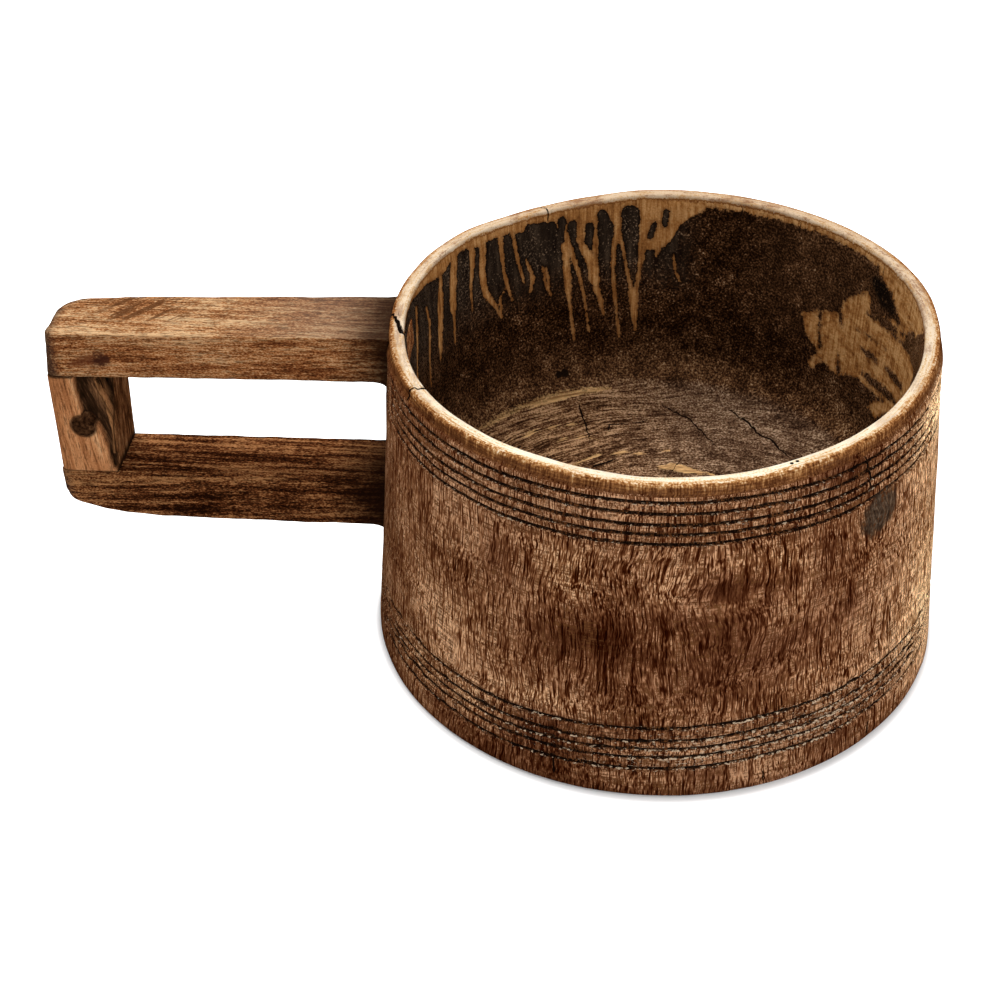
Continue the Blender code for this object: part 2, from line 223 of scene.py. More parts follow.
class Mixer:
    def __init__(self, name):
        self.material = bpy.data.materials.new(name)
        self.material.use_nodes = True
        self.tree = self.material.node_tree
        self.shader = self.tree.nodes["Principled BSDF"]

    def put(self, socket, value):
        if isinstance(value, bpy.types.NodeSocket):
            self.tree.links.new(value, socket)
        elif hasattr(socket.default_value, "__len__") and len(socket.default_value) == 4 and len(value) == 3:
            socket.default_value = (*value, 1)
        else:
            socket.default_value = value

    def node(self, kind, inputs, **settings):
        made = self.tree.nodes.new(kind)
        for key, value in settings.items():
            setattr(made, key, value)
        for key, value in inputs.items():
            self.put(made.inputs[key], value)
        return made

    def place(self):
        return self.tree.nodes.new("ShaderNodeTexCoord").outputs["Object"]

    def value(self, name):
        return self.node("ShaderNodeAttribute", {}, attribute_name=name).outputs["Fac"]

    def vector(self, name):
        return self.node("ShaderNodeAttribute", {}, attribute_name=name).outputs["Vector"]

    def maths(self, operation, a, b=0.0, c=0.0):
        return self.node("ShaderNodeMath", {0: a, 1: b, 2: c}, operation=operation).outputs[0]

    def vectors(self, operation, a, b, output=0):
        return self.node("ShaderNodeVectorMath", {0: a, 1: b}, operation=operation).outputs[output]

    def times(self, *values):
        total = values[0]
        for value in values[1:]:
            total = self.maths("MULTIPLY", total, value)
        return total

    def rest(self, share):
        return self.maths("SUBTRACT", 1.0, share)

    def lift(self, start, value, weight):
        # a start value plus another times its weight
        return self.maths("MULTIPLY_ADD", value, weight, start)

    def weigh(self, start, *parts):
        # a start value plus each noise, taken from its middle, times its weight
        total = start - 0.5 * sum(weight for value, weight in parts)
        for value, weight in parts:
            total = self.lift(total, value, weight)
        return total

    def fray(self, value, *parts):
        # a soft map with noises added, so that its edge is ragged
        return self.maths("ADD", value, self.weigh(0.0, *parts))

    def stretch(self, vector, scale, turn=None, shift=(0, 0, 0)):
        if turn:
            vector = self.node("ShaderNodeMapping", {"Vector": vector, "Rotation": turn}).outputs[0]
        inputs = {"Vector": vector, "Scale": scale, "Location": shift}
        return self.node("ShaderNodeMapping", inputs).outputs[0]

    def warp(self, vector, scale, amount):
        # pushes a vector about by a soft noise
        soft = self.node("ShaderNodeTexNoise", {"Vector": vector, "Scale": scale, "Detail": 1.0})
        push = self.vectors("SUBTRACT", soft.outputs["Color"], (0.5,) * 3)
        return self.vectors("ADD", vector, self.vectors("MULTIPLY", push, (amount,) * 3))

    def spot(self, place, centre, radius):
        away = self.vectors("DISTANCE", place, tuple(centre), "Value")
        return self.span(away, radius * 1.2, radius * 0.8)

    def clouds(self, vector, scale=1.0, detail=2.0, rough=0.5, twist=0.0):
        made = self.node("ShaderNodeTexNoise", {"Vector": vector, "Scale": scale, "Detail": detail,
                                                "Roughness": rough, "Distortion": twist})
        return made.outputs["Fac"]

    def fibres(self, vector, often, detail=2.0, rough=0.5, twist=0.0, turn=None, shift=(0, 0, 0)):
        # noise that is drawn out along the grain: how often it changes, per metre, along X, Y and Z
        return self.clouds(self.stretch(vector, often, turn, shift), 1.0, detail, rough, twist)

    def span(self, value, low, high, newLow=0.0, newHigh=1.0):
        made = self.node("ShaderNodeMapRange", {"Value": value, "From Min": low, "From Max": high,
                                                "To Min": newLow, "To Max": newHigh},
                         interpolation_type="SMOOTHSTEP", clamp=True)
        return made.outputs["Result"]

    def ramp(self, value, stops):
        made = self.node("ShaderNodeValToRGB", {"Fac": value})
        band = made.color_ramp
        while len(band.elements) < len(stops):
            band.elements.new(0.5)
        for element, (position, colour) in zip(band.elements, stops):
            element.position = position
            element.color = (*colour, 1)
        return made.outputs["Color"]

    def mix(self, share, first, second, blend="MIX"):
        made = self.node("ShaderNodeMix", {}, data_type="RGBA", blend_type=blend, clamp_factor=True)
        self.put(made.inputs[0], share)
        self.put(made.inputs[6], first)
        self.put(made.inputs[7], second)
        return made.outputs[2]

    def stain(self, wood, colour, *shares):
        # another colour over the wood, by all the shares multiplied
        return self.mix(self.times(*shares), wood, colour)

    def blend(self, share, first, second):
        made = self.node("ShaderNodeMix", {}, data_type="FLOAT", clamp_factor=True)
        self.put(made.inputs[0], share)
        self.put(made.inputs[2], first)
        self.put(made.inputs[3], second)
        return made.outputs[0]

    def finish(self, colour, roughness, height, strength, depth, gloss=0.0):
        bump = self.node("ShaderNodeBump", {"Height": height, "Strength": strength, "Distance": depth})
        self.put(self.shader.inputs["Base Color"], colour)
        self.put(self.shader.inputs["Roughness"], roughness)
        self.put(self.shader.inputs["Normal"], bump.outputs[0])
        self.put(self.shader.inputs["Specular IOR Level"], gloss)
        self.put(self.shader.inputs["Specular Tint"], glossTint)
        return self.material


# the turned bowl

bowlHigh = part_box("bowl_body")[1]
bowl = {
    "height": bowlHigh.z,
    "footRadius": bowlHigh.x,
    "footEdge": 1.2 * mm,
    "underHollow": 0.9 * mm,
    "topRadius": 97.9 * mm,    # outside, under the rim
    # outside radius at a few heights, in mm
    "wall": ((0, 107.7), (3, 107.9), (10, 107.2), (22, 106.0), (36, 104.6), (52, 103.1), (80, 101.0),
             (104, 99.2), (122, 97.9)),
    "rimHeight": 9.0 * mm,
    "rimInset": 1.1 * mm,
    "rimWide": 5.6 * mm,
    "rimCrown": 3.0 * mm,
    "crownSquare": (0.58, 0.5),    # a little rounder outside than inside
    "hollowTaper": 1.7 * mm,
    "floorTop": 46.5 * mm,
    "floorRound": 18.0 * mm,
    "floorDish": 2.0 * mm,
    "upperGrooves": (104.4, 108.1, 111.7, 115.9, 120.0),    # heights in mm
    "lowerGrooves": (12.3, 17.1, 20.6, 24.1, 29.5),
    "grooveHalf": 0.85 * mm,
    "grooveDepth": 1.1 * mm,
    # a groove's section: half widths from its middle, share of its depth
    "grooveShape": ((-1.3, 0), (-0.95, 0.12), (-0.5, 0.82), (0, 1), (0.5, 0.82), (0.95, 0.12), (1.3, 0)),
    # the mesh: rings of the base as shares of its radius, rows up the outside as (from, to, count) in mm
    "baseRings": (0, 0.18, 0.36, 0.52, 0.66, 0.74, 0.78, 0.88, 0.96),
    "footRows": (2.6, 10.6, 6),
    "wallRows": (32.2, 101.8, 36),
    "rimRows": (122.4, 127.2, 5),
    "footSteps": 3,
    "crownSteps": 16,
    "insideRows": 46,
    "insideMargin": 1.2 * mm,
    "roundSteps": 12,
    "floorRings": 31,
    "columns": 320,
}
wallTop = bowl["height"] - bowl["rimHeight"]
hollowTop = bowl["height"] - bowl["rimCrown"]
hollowFoot = bowl["floorTop"] + bowl["floorRound"]
hollowRadius = bowl["topRadius"] - bowl["rimInset"] - bowl["rimWide"]
floorRadius = hollowRadius - bowl["hollowTaper"] - bowl["floorRound"]


def outsideRadius(z):
    rimInset = np.clip((z - wallTop) / (hollowTop - wallTop), 0, 1) ** 2 * bowl["rimInset"]
    return follow(bowl["wall"], z / mm) * mm - rimInset


def insideRadius(z):
    return hollowRadius - bowl["hollowTaper"] * np.clip(1 - (z - hollowFoot) / (hollowTop - hollowFoot), 0, 1)


def bowlProfile():
    # from the middle of the underside, up the outside, over the rim and down to the middle of the floor
    points = []    # radius, height, zone, groove depth share

    def climb(rows, zone):
        for z in np.linspace(*rows) * mm:
            points.append((outsideRadius(z), z, zone, 0))

    def cutGrooves(middles):
        for middle in middles:
            for side, depth in bowl["grooveShape"]:
                z = middle * mm + side * bowl["grooveHalf"]
                points.append((outsideRadius(z), z, "groove", depth))

    edge = bowl["footEdge"]
    standing = bowl["footRadius"] - edge
    points += [(standing * share, 0.0, "base", 0) for share in bowl["baseRings"]]
    for turn in np.linspace(0, math.pi / 2, bowl["footSteps"] + 1):
        points.append((standing + edge * math.sin(turn), edge * (1 - math.cos(turn)), "foot", 0))
    climb(bowl["footRows"], "foot")
    cutGrooves(bowl["lowerGrooves"])
    climb(bowl["wallRows"], "wall")
    cutGrooves(bowl["upperGrooves"])
    climb(bowl["rimRows"], "rim")
    halfRim = bowl["rimWide"] / 2
    for i in range(bowl["crownSteps"] + 1):
        turn = math.pi * i / bowl["crownSteps"]
        square = bowl["crownSquare"][0 if i < bowl["crownSteps"] / 2 else 1]
        across = math.copysign(abs(math.cos(turn)) ** square, math.cos(turn))
        points.append((hollowRadius + halfRim + halfRim * across,
                       hollowTop + bowl["rimCrown"] * math.sin(turn) ** square, "rim", 0))
    margin = bowl["insideMargin"]
    for z in np.linspace(hollowTop - margin, hollowFoot + margin, bowl["insideRows"]):
        points.append((insideRadius(z), z, "inside", 0))
    for turn in np.linspace(0, math.pi / 2, bowl["roundSteps"] + 1):
        points.append((floorRadius + bowl["floorRound"] * math.cos(turn),
                       hollowFoot - bowl["floorRound"] * math.sin(turn), "inside", 0))
    for i in reversed(range(bowl["floorRings"])):
        share = i / bowl["floorRings"]
        z = bowl["floorTop"] - bowl["floorDish"] * (1 - share ** 2)
        points.append((floorRadius * share, z, "floor", 0))
    return points


profile = bowlProfile()
zones = np.array([p[2] for p in profile])
bowlPiece = spinProfile("bowl", [(p[0], p[1]) for p in profile], bowl["columns"])
ringEnds = readRings(bowlPiece)[edgeEnds(bowlPiece)]
level = (ringEnds[:, 0] == ringEnds[:, 1]) & (zones[ringEnds[:, 0]] == "inside")
cutEdges(bowlPiece, level, 1)    # twice as many columns where the drips are
print("bowl spun:", len(bowlPiece.data.vertices), "vertices")

# wear, cracks and stains on the bowl: places are degrees round the axis from +X and heights in mm
wear = {
    # how far the top edge rises or falls: degrees, mm
    "rimWave": (
        (-180, 0.0), (-30, 0.0), (-5, 0.8), (15, 1.6), (50, 1.4), (80, 1.4),
        (95, 1.2), (106, 0.1), (118, -0.5), (130, -0.2), (142, 1.0), (150, 0.9), (165, 0.3), (180, 0.0),
    ),
    # how far the rim above the grooves has worn down: degrees, mm
    "rimFall": (
        (-180, 1.2), (-165, 3.0), (-150, 3.6), (-130, 3.5), (-113, 3.9), (-95, 4.9), (-72, 4.9), (-60, 3.9),
        (-45, 3.5), (-31, 2.6), (-18, 2.4), (-6, 1.2), (8, 0.0), (165, 0.0), (180, 1.2),
    ),
    # how far the lower band of grooves rises or falls: degrees, mm
    "bandAskew": ((-180, -0.5), (-120, -1.8), (-90, 0.3), (-65, 1.7), (-40, 1.4), (0, 0.0), (180, -0.5)),
    # where the wall bulges: degrees and spread, height and spread in mm, and how far in mm
    "bulgeRight": (-16, 30, 62, 46, 0.9),
    "bulgesAtHandle": (160, 16, 40, 26, 0.5),    # one on each side of it
    # cracks across the rim: degrees at the outer edge, degrees at the inner edge, width, depth
    "rimCracks": (
        (120.6, 119.0, 0.8, 1.5),
        (70.0, 69.4, 0.6, 0.9),
        (54.6, 53.8, 0.6, 0.8),
        (26.8, 25.8, 0.6, 0.9),
        (-0.4, -1.4, 0.7, 1.2),
        (177.8, 186.6, 2.0, 1.5),
        (-151.6, -150.2, 1.7, 1.5),
    ),
    # cracks down the outside: (degrees, height) points and width
    "wallCracks": (
        ((-48.4, 122.5), (-47.0, 116.0), (-45.8, 107.0), 0.9),
        ((-44.0, 8.5), (-44.3, 1.0), 0.8),
        ((-68.5, 9.5), (-68.9, 2.0), 0.7),
        ((-108.8, 13.0), (-108.4, 3.5), 0.7),
        ((140.0, 128.0), (139.0, 101.0), 0.7),
        ((33.0, 10.0), (34.5, 48.0), 0.6),
    ),
    "wallCrackDepth": 0.8,
    # cracks in the floor: (x, y) points in mm and width
    "floorCracks": (
        ((-31.8, 69.9), (-28.3, 55.9), (-25.6, 43.1), 0.9),
        ((-18.5, 50.0), (-18.6, 55.5), (-11.3, 56.5), (-6.6, 57.5), (-1.0, 60.7), 1.2),
        ((2.3, 70.7), (14.6, 60.6), (26.2, 39.4), 1.1),
        ((29.5, 68.5), (39.0, 57.6), (42.8, 49.3), (46.8, 46.6), (54.5, 32.5), 1.1),
        ((-24.6, 25.0), (-23.2, 27.5), (-18.7, 29.3), (-15.0, 33.2), 2.2),
        ((4.0, 19.0), (11.8, 35.2), 1.5),
        ((17.0, 28.0), (20.3, 34.6), 1.0),
        ((4.0, 6.0), (-6.0, -20.0), (-3.0, -44.0), 0.8),
        ((20.0, -8.0), (44.0, -22.0), 0.7),
    ),
    "floorCrackDepth": 0.9,
    "coatThick": 0.28,
    # the bare wood that shows between the drips of the coat: (degrees, height, width) points
    "dripGaps": (
        ((155.5, 124, 2.4), (156.8, 112, 4.2), (158.1, 98, 3.6), (158.5, 90, 1.2)),
        ((149.5, 128, 4.2), (150.7, 117, 4.4), (151.2, 107, 4.4), (151.1, 103, 1.6), (151.6, 92, 1.1)),
        ((164.0, 117, 1.6), (162.7, 110, 2.0), (163.5, 103, 2.0), (165.0, 84, 1.3)),
        ((170.3, 123, 2.0), (171.7, 111, 2.6), (175.0, 91, 1.6)),
        ((142.6, 126, 3.5), (143.0, 117, 2.6), (143.8, 111, 1.4), (143.7, 100, 0.9)),
        ((138.8, 126, 3.6), (139.5, 114, 3.7), (138.7, 104, 3.1), (135.8, 97, 1.9), (133.8, 90, 1.0)),
        ((133.2, 126, 2.5), (132.5, 111, 1.8), (131.5, 103, 2.0), (130.2, 96, 0.9)),
        ((131.5, 103, 1.2), (134.0, 99, 1.3), (133.8, 90, 1.0)),
        ((129.3, 125, 1.5), (128.0, 112, 1.5), (126.4, 102, 0.9)),
        ((125.6, 112, 1.0), (123.8, 103, 2.1), (124.6, 97, 1.3)),
        ((121.0, 107, 1.0), (120.2, 99, 1.4), (118.6, 93, 1.1)),
        ((119.8, 106, 0.9), (119.2, 97, 1.2)),
        ((115.0, 120, 2.3), (114.3, 109, 3.7), (113.8, 94, 2.8), (113.3, 86, 1.5), (112.3, 70, 1.2)),
        ((114.3, 119, 1.8), (112.3, 108, 2.1), (110.8, 100, 1.7), (109.5, 90, 1.2), (108.1, 72, 0.8)),
        ((110.2, 122, 2.7), (109.9, 112, 2.7), (107.3, 105, 5.0), (106.5, 97, 4.6), (105.3, 89, 2.8),
         (104.1, 79, 0.8)),
        ((106.2, 120, 1.6), (106.5, 109, 2.3)),
        ((100.9, 124, 2.6), (101.7, 112, 2.2), (101.7, 98, 1.8), (100.9, 83, 1.4), (99.8, 68, 1.3)),
        ((100.4, 123, 1.7), (99.5, 112, 1.4), (98.2, 100, 1.4), (97.1, 92, 2.0)),
        ((96.4, 91, 4.3), (96.0, 80, 3.4), (95.6, 71, 0.8)),
        ((93.5, 121, 4.7), (94.2, 110, 3.9), (94.8, 100, 1.9), (95.3, 92, 1.4)),
        ((90.2, 119, 1.7), (90.3, 110, 3.5), (90.5, 105, 1.2)),
        ((87.2, 120, 1.5), (88.7, 110, 1.7)),
        ((86.3, 106, 0.9), (85.7, 100, 0.9), (84.4, 94, 1.0)),
    ),
    # the round ends of the drips that stand on bare wood
    "dripEnds": (
        ((118.1, 123, 4.7), (117.3, 110, 6.7)),
        ((115.2, 125, 3.7), (115.5, 116, 2.8)),
        ((112.5, 122, 4.3), (112.2, 115, 2.8), (111.7, 111, 0.6)),
        ((107.9, 120, 4.0), (108.1, 114, 3.6), (107.6, 110, 0.9)),
        ((104.7, 125, 4.2), (103.7, 119, 6.8), (103.9, 106, 4.9), (103.6, 91, 5.0)),
        ((97.4, 124, 7.8), (97.3, 115, 7.0), (96.7, 103, 4.4), (96.1, 91, 0.6)),
        ((91.3, 120, 2.2), (92.3, 114, 2.6)),
        ((88.4, 125, 2.6), (88.8, 119, 2.2)),
    ),
    # lower edge of the bare strip below the rim: (degrees, height)
    "bareStrip": (
        (-180, 129), (-150, 126), (-120, 127), (-90, 124), (-60, 127), (-30, 128), (-3, 128),
        (1, 123), (4, 119), (10, 119.5), (18, 122), (24, 124.5), (28, 128), (60, 128), (78, 128), (82, 123),
        (85, 119), (87, 112), (90, 108), (94, 108), (101, 112), (106, 107),
        (111, 113), (116, 120), (120, 126), (125, 127), (126, 124), (131, 126), (140, 126), (147, 128),
        (149, 129), (154, 124), (158, 125), (166, 127), (180, 129),
    ),
    # the scraped patch on the right: (degrees, height)
    "scrapedPatch": [
        (50.6, 92), (45.7, 96), (41.6, 98), (39.1, 100), (38.8, 104.5), (34.2, 111), (30.3, 115.5),
        (28.5, 113.5), (28.6, 109), (25.2, 108), (18.6, 108.5), (8.9, 110), (2.9, 109), (-0.5, 108),
        (2, 98), (6.5, 92), (10, 82), (19.5, 69), (23.7, 70), (22, 74), (16.9, 79.5), (24, 77.3),
        (29.1, 77.7), (36.1, 74.5), (36.7, 70.5), (37.6, 72.5), (41.9, 74.5), (43.9, 75), (45.9, 68),
        (47.5, 72), (44.8, 77.6), (49.1, 84.5),
    ],
    # the coat that is left in it, the bare strips above it and a black blob: (degrees, height, width) points
    "patchStreaks": (
        ((45.4, 98, 2.0), (44.8, 90, 1.7), (44.0, 80, 2.2)),
        ((39.2, 105, 2.2), (38.4, 94.5, 1.6)),
        ((37.9, 82, 1.4), (36.7, 70.5, 2.2)),
        ((23.0, 121, 1.2), (14.0, 111, 1.8)),
        ((16.0, 121, 1.2), (9.0, 112, 1.6)),
        ((9.0, 119, 1.4), (4.0, 109, 2.0)),
        ((29.7, 91.2, 1.8), (26.0, 91.2, 3.8), (22.5, 91.3, 2.0)),
        ((28.0, 81.3, 2.4), (22.0, 82.2, 4.6), (16.7, 83.2, 4.2), (10.7, 84.9, 2.4)),
        ((18.6, 92.4, 2.2), (13.0, 93.2, 4.6), (8.5, 93.9, 3.0)),
        ((29.0, 107, 2.4), (20.2, 108, 2.2), (7.5, 111, 4.2)),
        ((33.0, 97, 0.8), (27.0, 98.5, 1.2), (20.0, 99.5, 0.8)),
    ),
    "rightStrips": (
        ((27.0, 127, 2.0), (17.7, 122, 5.0), (12.0, 117, 7.0), (6.0, 121, 3.0)),
        ((22.0, 111.5, 0.8), (16.5, 112.5, 2.2), (11.0, 115.5, 1.4)),
        ((20.5, 107.8, 0.8), (15.5, 109.3, 1.8), (10.5, 111.8, 1.0)),
    ),
    "blackBlob": (
        ((27.4, 121, 6.0), (24.2, 119, 9.0), (20.5, 117, 7.0)),
    ),
    # how pale the top of the rim is: degrees, share
    "rimPale": ((-180, 0.55), (-150, 0.7), (-120, 1.0), (-60, 1.0), (-30, 0.7), (0, 0.5), (30, 0.35),
                (70, 0.25), (105, 0.3), (130, 0.35), (150, 0.45), (180, 0.55)),
    # light rings in the floor: (degrees, distance from the axis, width)
    "floorArcs": (
        ((149, 83.7, 2.2), (140, 82.8, 3.0), (131, 82.3, 2.6), (123, 81.2, 3.4), (113, 81.0, 2.2),
         (103, 80.8, 0.8)),
        ((144, 70.9, 0.8), (131, 67.7, 1.2), (120, 64.1, 1.0), (116, 60.9, 0.5)),
        ((141, 59.0, 0.8), (131, 58.1, 1.0), (121, 55.0, 1.0), (116, 49.4, 0.5)),
        ((140, 41.3, 0.8), (122, 41.0, 1.2), (99, 37.4, 1.6), (81, 39.2, 0.8)),
        ((88, 26.5, 1.6), (74, 29.2, 4.2), (61, 29.2, 3.4), (43, 32.7, 0.8)),
    ),
    "pith": (14, -22),    # middle of the rings: x, y in mm
    # small round holes: degrees, distance from the axis, height, radius
    "holes": ((115.6, 87.3, 55.9, 1.8), (117.4, 87.3, 55.9, 1.5)),
    # two pin holes in the top of the rim: degrees, distance from the axis, radius
    "pinHoles": ((-64.3, 93.4, 0.62), (-63.0, 93.2, 0.6)),
    # grey knot on the outside: degrees, height, half length, half width, tilt in degrees
    "greyKnot": (-43.2, 96.8, 11.5, 9.0, 20.0),
    "knotRadius": 99.5,    # of the wall there, in mm
    # where the grain flows round an eye: degrees, height, radius
    "grainEyes": ((-77.5, 80.5, 11.0), (-43.2, 96.8, 8.0), (62.0, 66.0, 13.0), (150.0, 84.0, 10.0)),
    # how strong the pores are: degrees, share, and in the clouds: cloud's amount, share
    "pores": ((-180, 0.7), (-150, 0.75), (-120, 0.9), (-95, 1), (-40, 1), (-15, 0.85), (180, 0.9)),
    "cloudPores": ((-0.25, 0.50), (-0.05, 0.80), (0.10, 1.0)),
    # where the arms meet the wall: lower edge, upper edge and half width in mm
    "armEnds": ((108.5, 126.8, 14.2), (45.0, 65.6, 12.9)),
    # lighter and darker clouds on the outside: degrees, height, half width, half height, amount
    "clouds": (
        (-12, 66, 24, 80, 0.22), (-158, 80, 22, 60, 0.04), (-78.5, 86, 6, 5, -0.22),
        (-52, 64.5, 5, 4.5, -0.14), (-61, 61, 6, 4.5, -0.12), (-70, 55, 6, 4.5, -0.12),
        (-80, 49, 7, 5, -0.10), (-60, 42, 8, 8, 0.09),
        (-53, 29, 8, 6, 0.05), (-14, 26, 10, 16, 0.05), (-82, 52, 20, 22, -0.06), (-140, 45, 12, 36, 0.05),
        # the clouds are the wood's own tone, but the two low on the left, at -144 and -127 degrees, are
        # partly painted light that lifts the side turned from the lamps
        (-24, 40, 12, 34, 0.10), (-144, 18, 13, 14, 0.10), (-127, 20, 8, 10, 0.12), (-97, 62, 9, 26, -0.05),
        (-72, 66, 8, 12, -0.09), (-64, 46, 10, 8, -0.05), (-80, 10, 5, 4, -0.14), (-55, 10, 5, 5, -0.12),
        (-131, 53, 8, 12, 0.05), (-110, 60, 7, 6, -0.10), (-111, 35.5, 10, 5, 0.11), (-111, 21, 8, 8, -0.13),
        (-135, 9.5, 7, 4, -0.12), (-118, 6, 14, 6, -0.10), (-122.5, 86, 3, 10, -0.14), (-107, 93, 7, 9, 0.13),
        (-57, 92, 4, 6, -0.08), (-105, 66, 8, 7, -0.12), (-88.5, 87, 4, 10, 0.09), (-63, 84, 3, 3, -0.12),
        (-58, 77, 2, 6, -0.10), (-50, 68, 2.5, 6, -0.13), (-67, 96, 6, 5, 0.09), (-53, 121, 8, 5, -0.22),
        (-40, 20, 14, 9, -0.04), (-78, 66, 6, 9, -0.11), (-88, 75, 5, 5, -0.09), (-107, 82, 5, 6, 0.08),
        (-117, 30, 5, 8, 0.05), (-34, 31, 12, 16, 0.06), (-20, 114, 15, 12, 0.20), (80, 70, 30, 26, -0.10),
        (120, 60, 22, 30, 0.08), (30, 90, 20, 30, 0.10),
    ),
    # where the grooves' lands and lips have splintered: degrees, height, half width, half height, amount
    "chipZones": (
        (-58, 21, 24, 12, 1.0), (-88, 17, 14, 10, 0.6), (-112, 22, 10, 9, 0.3), (-120.5, 103.6, 2, 1.4, 1.0),
        (-75, 111, 2.5, 2.5, 0.9), (-64, 113, 2, 1.5, 0.8), (-59, 117, 3, 3, 0.8), (-92, 119.5, 6, 1.2, 0.6),
        (60, 20, 40, 10, 0.6), (150, 108, 10, 6, 0.5),
    ),
}

# lumps on the bowl's faces: how far and how large in mm, and the noise's shift
relief = {
    "grooveWander": (0.44, 22, 3),
    "outOfRound": (0.5, 70, 2),
    "dents": (0.22, 17, 14),
    "smallDents": (0.06, 5, 15),
    "rimRipple": (0.15, 16, 22),
    "rimSides": (0.2, 14, 23),
    "floorDents": (0.35, 14, 25),
    "ringBends": (1.6, 26, 41),
    "smallRingBends": (0.5, 8, 42),
}
noiseRadius = 100 * mm    # of the plain cylinder that even noise is read on
ringWrap = 6 * mm
mapEnd = 9.0              # in mm, past which a distance map isn't read
wallArc = degree * 100   # mm round the outside for a degree
insideArc = degree * insideRadius(100 * mm) / mm


def uneven(name, points):
    amount, size, shift = relief[name]
    return amount * mm * lumps(points, size * mm, shift)


def polar(degrees, radius, z):
    return np.array((radius * math.cos(math.radians(degrees)), radius * math.sin(math.radians(degrees)), z))


def rolledUp(radius, turn):
    # a radius and a small circle, so that noise on it has no seam
    return np.stack((radius, np.cos(turn) * ringWrap, np.sin(turn) * ringWrap), 1)


def bowlPlaces(piece):
    # the zone of each vertex, and its place as radius, height and angle
    ring = readRings(piece)
    points = readPoints(piece)
    b = SimpleNamespace(zone=zones[ring])
    b.r, b.z, b.groove = (np.array([p[i] for p in profile], float)[ring] for i in (0, 1, 3))
    b.plainZ = b.z    # before the wear
    b.angle = np.arctan2(points[:, 1], points[:, 0])
    b.degrees = np.degrees(b.angle)
    b.outward = np.stack((np.cos(b.angle), np.sin(b.angle), np.zeros(len(ring))), 1)
    b.round = b.outward * noiseRadius
    b.plain = b.round + b.z[:, None] * (0, 0, 1)
    b.onAxis = np.hypot(points[:, 0], points[:, 1]) < 0.01 * mm
    b.inGroove, b.onRim = b.zone == "groove", b.zone == "rim"
    b.inside, b.onFloor = b.zone == "inside", b.zone == "floor"
    b.outside = np.isin(b.zone, ("foot", "groove", "wall")) | (b.onRim & (b.z < hollowTop))
    b.lower = b.z < 60 * mm
    return b


def bowlPoints(b):
    return np.stack((b.outward[:, 0] * b.r, b.outward[:, 1] * b.r, b.z), 1)


def breakGrooves(b):
    # hand-cut grooves wander, and their edges and the lands between them have broken away
    b.z = b.z + np.where(b.inGroove, uneven("grooveWander", b.round), 0)
    onBand = ease(1 * mm, 11 * mm, b.plainZ) * ease(50 * mm, 32 * mm, b.plainZ)
    b.z = b.z + np.where(b.outside, follow(wear["bandAskew"], b.degrees) * mm * onBand, 0)
    depth = bowl["grooveDepth"] * (1.0 + 0.7 * lumps(b.plain, 6 * mm, 5))
    chips = ease(0.12, 0.5, lumps(b.plain * (1, 1, 1.6), 4.5 * mm, 9)) * np.where(b.lower, 0.75, 0.4) * mm
    b.r = np.where(b.inGroove, b.r - b.groove * depth - np.where(b.groove < 0.5, chips, 0), b.r)


def bulge(degrees, z, place):
    middle, wide, height, high, amount = place
    return amount * mm * np.exp(-((degrees - middle) / wide) ** 2) * np.exp(-((z / mm - height) / high) ** 2)


def wearBowl(b):
    # out of round, with low dents and tool ripples
    wide = uneven("outOfRound", b.round)
    dents = uneven("dents", b.plain) + uneven("smallDents", b.plain)
    bulges = bulge(b.degrees, b.z, wear["bulgeRight"]) + bulge(np.abs(b.degrees), b.z, wear["bulgesAtHandle"])
    b.r = b.r + np.where(b.outside, bulges + wide * 0.6 + dents, 0)
    b.r = b.r + np.where(b.inside & (b.z > 60 * mm), wide * 0.4 + dents * 1.3, 0)

    # the rim waves and has worn down
    upper = ease(104 * mm, 129 * mm, b.z) * np.isin(b.zone, ("groove", "rim", "inside"))
    b.z = b.z + upper * (follow(wear["rimWave"], b.degrees) * mm + uneven("rimRipple", b.round))
    worn = ease(121.6 * mm, 127.5 * mm, b.plainZ) * (b.onRim | b.inside)
    b.z = b.z - worn * follow(wear["rimFall"], b.degrees) * mm
    b.r = b.r + np.where(b.onRim, uneven("rimSides", b.plain), 0)
    b.z = b.z + np.where(b.onFloor, uneven("floorDents", bowlPoints(b)), 0)

    # the underside is a little hollow within its standing ring
    hollow = bowl["underHollow"] * ease(0.84, 0.70, b.r / bowl["footRadius"])
    b.z = np.maximum(b.z + np.where(b.zone == "base", hollow, 0), 0)
    b.body = bowlPoints(b)
    b.body[b.onAxis, 0:2] = 0


def nearCrack(points, normals, spots, width):
    # distance across a crack line, with its side as the sign, and its half width, which tapers to the ends
    across = np.full(len(points), mapEnd * mm)
    half = np.zeros(len(points))
    lengths = [np.linalg.norm(b - a) for a, b in zip(spots, spots[1:])]
    run = 0.0
    for a, b, length in zip(spots, spots[1:], lengths):
        along = (b - a) / length
        t = np.clip((points - a) @ along, 0, length)
        away = points - a - t[:, None] * along
        distance = np.linalg.norm(away, axis=1)
        share = (run + t) / sum(lengths)
        side = np.where(np.einsum("ij,ij->i", away, np.cross(along, normals)) < 0, -1, 1)
        better = (distance < np.abs(across)) & (distance < 4 * mm)
        across = np.where(better, distance * side, across)
        newHalf = width / 2 * np.clip(4 * share * (1 - share) * 1.4, 0.0, 1.0) ** 0.6
        fade = np.clip((newHalf + 1.8 * mm - distance) / (1.2 * mm), 0, 1)
        half = np.where(better, newHalf * fade, half)
        run += length
    return across, half


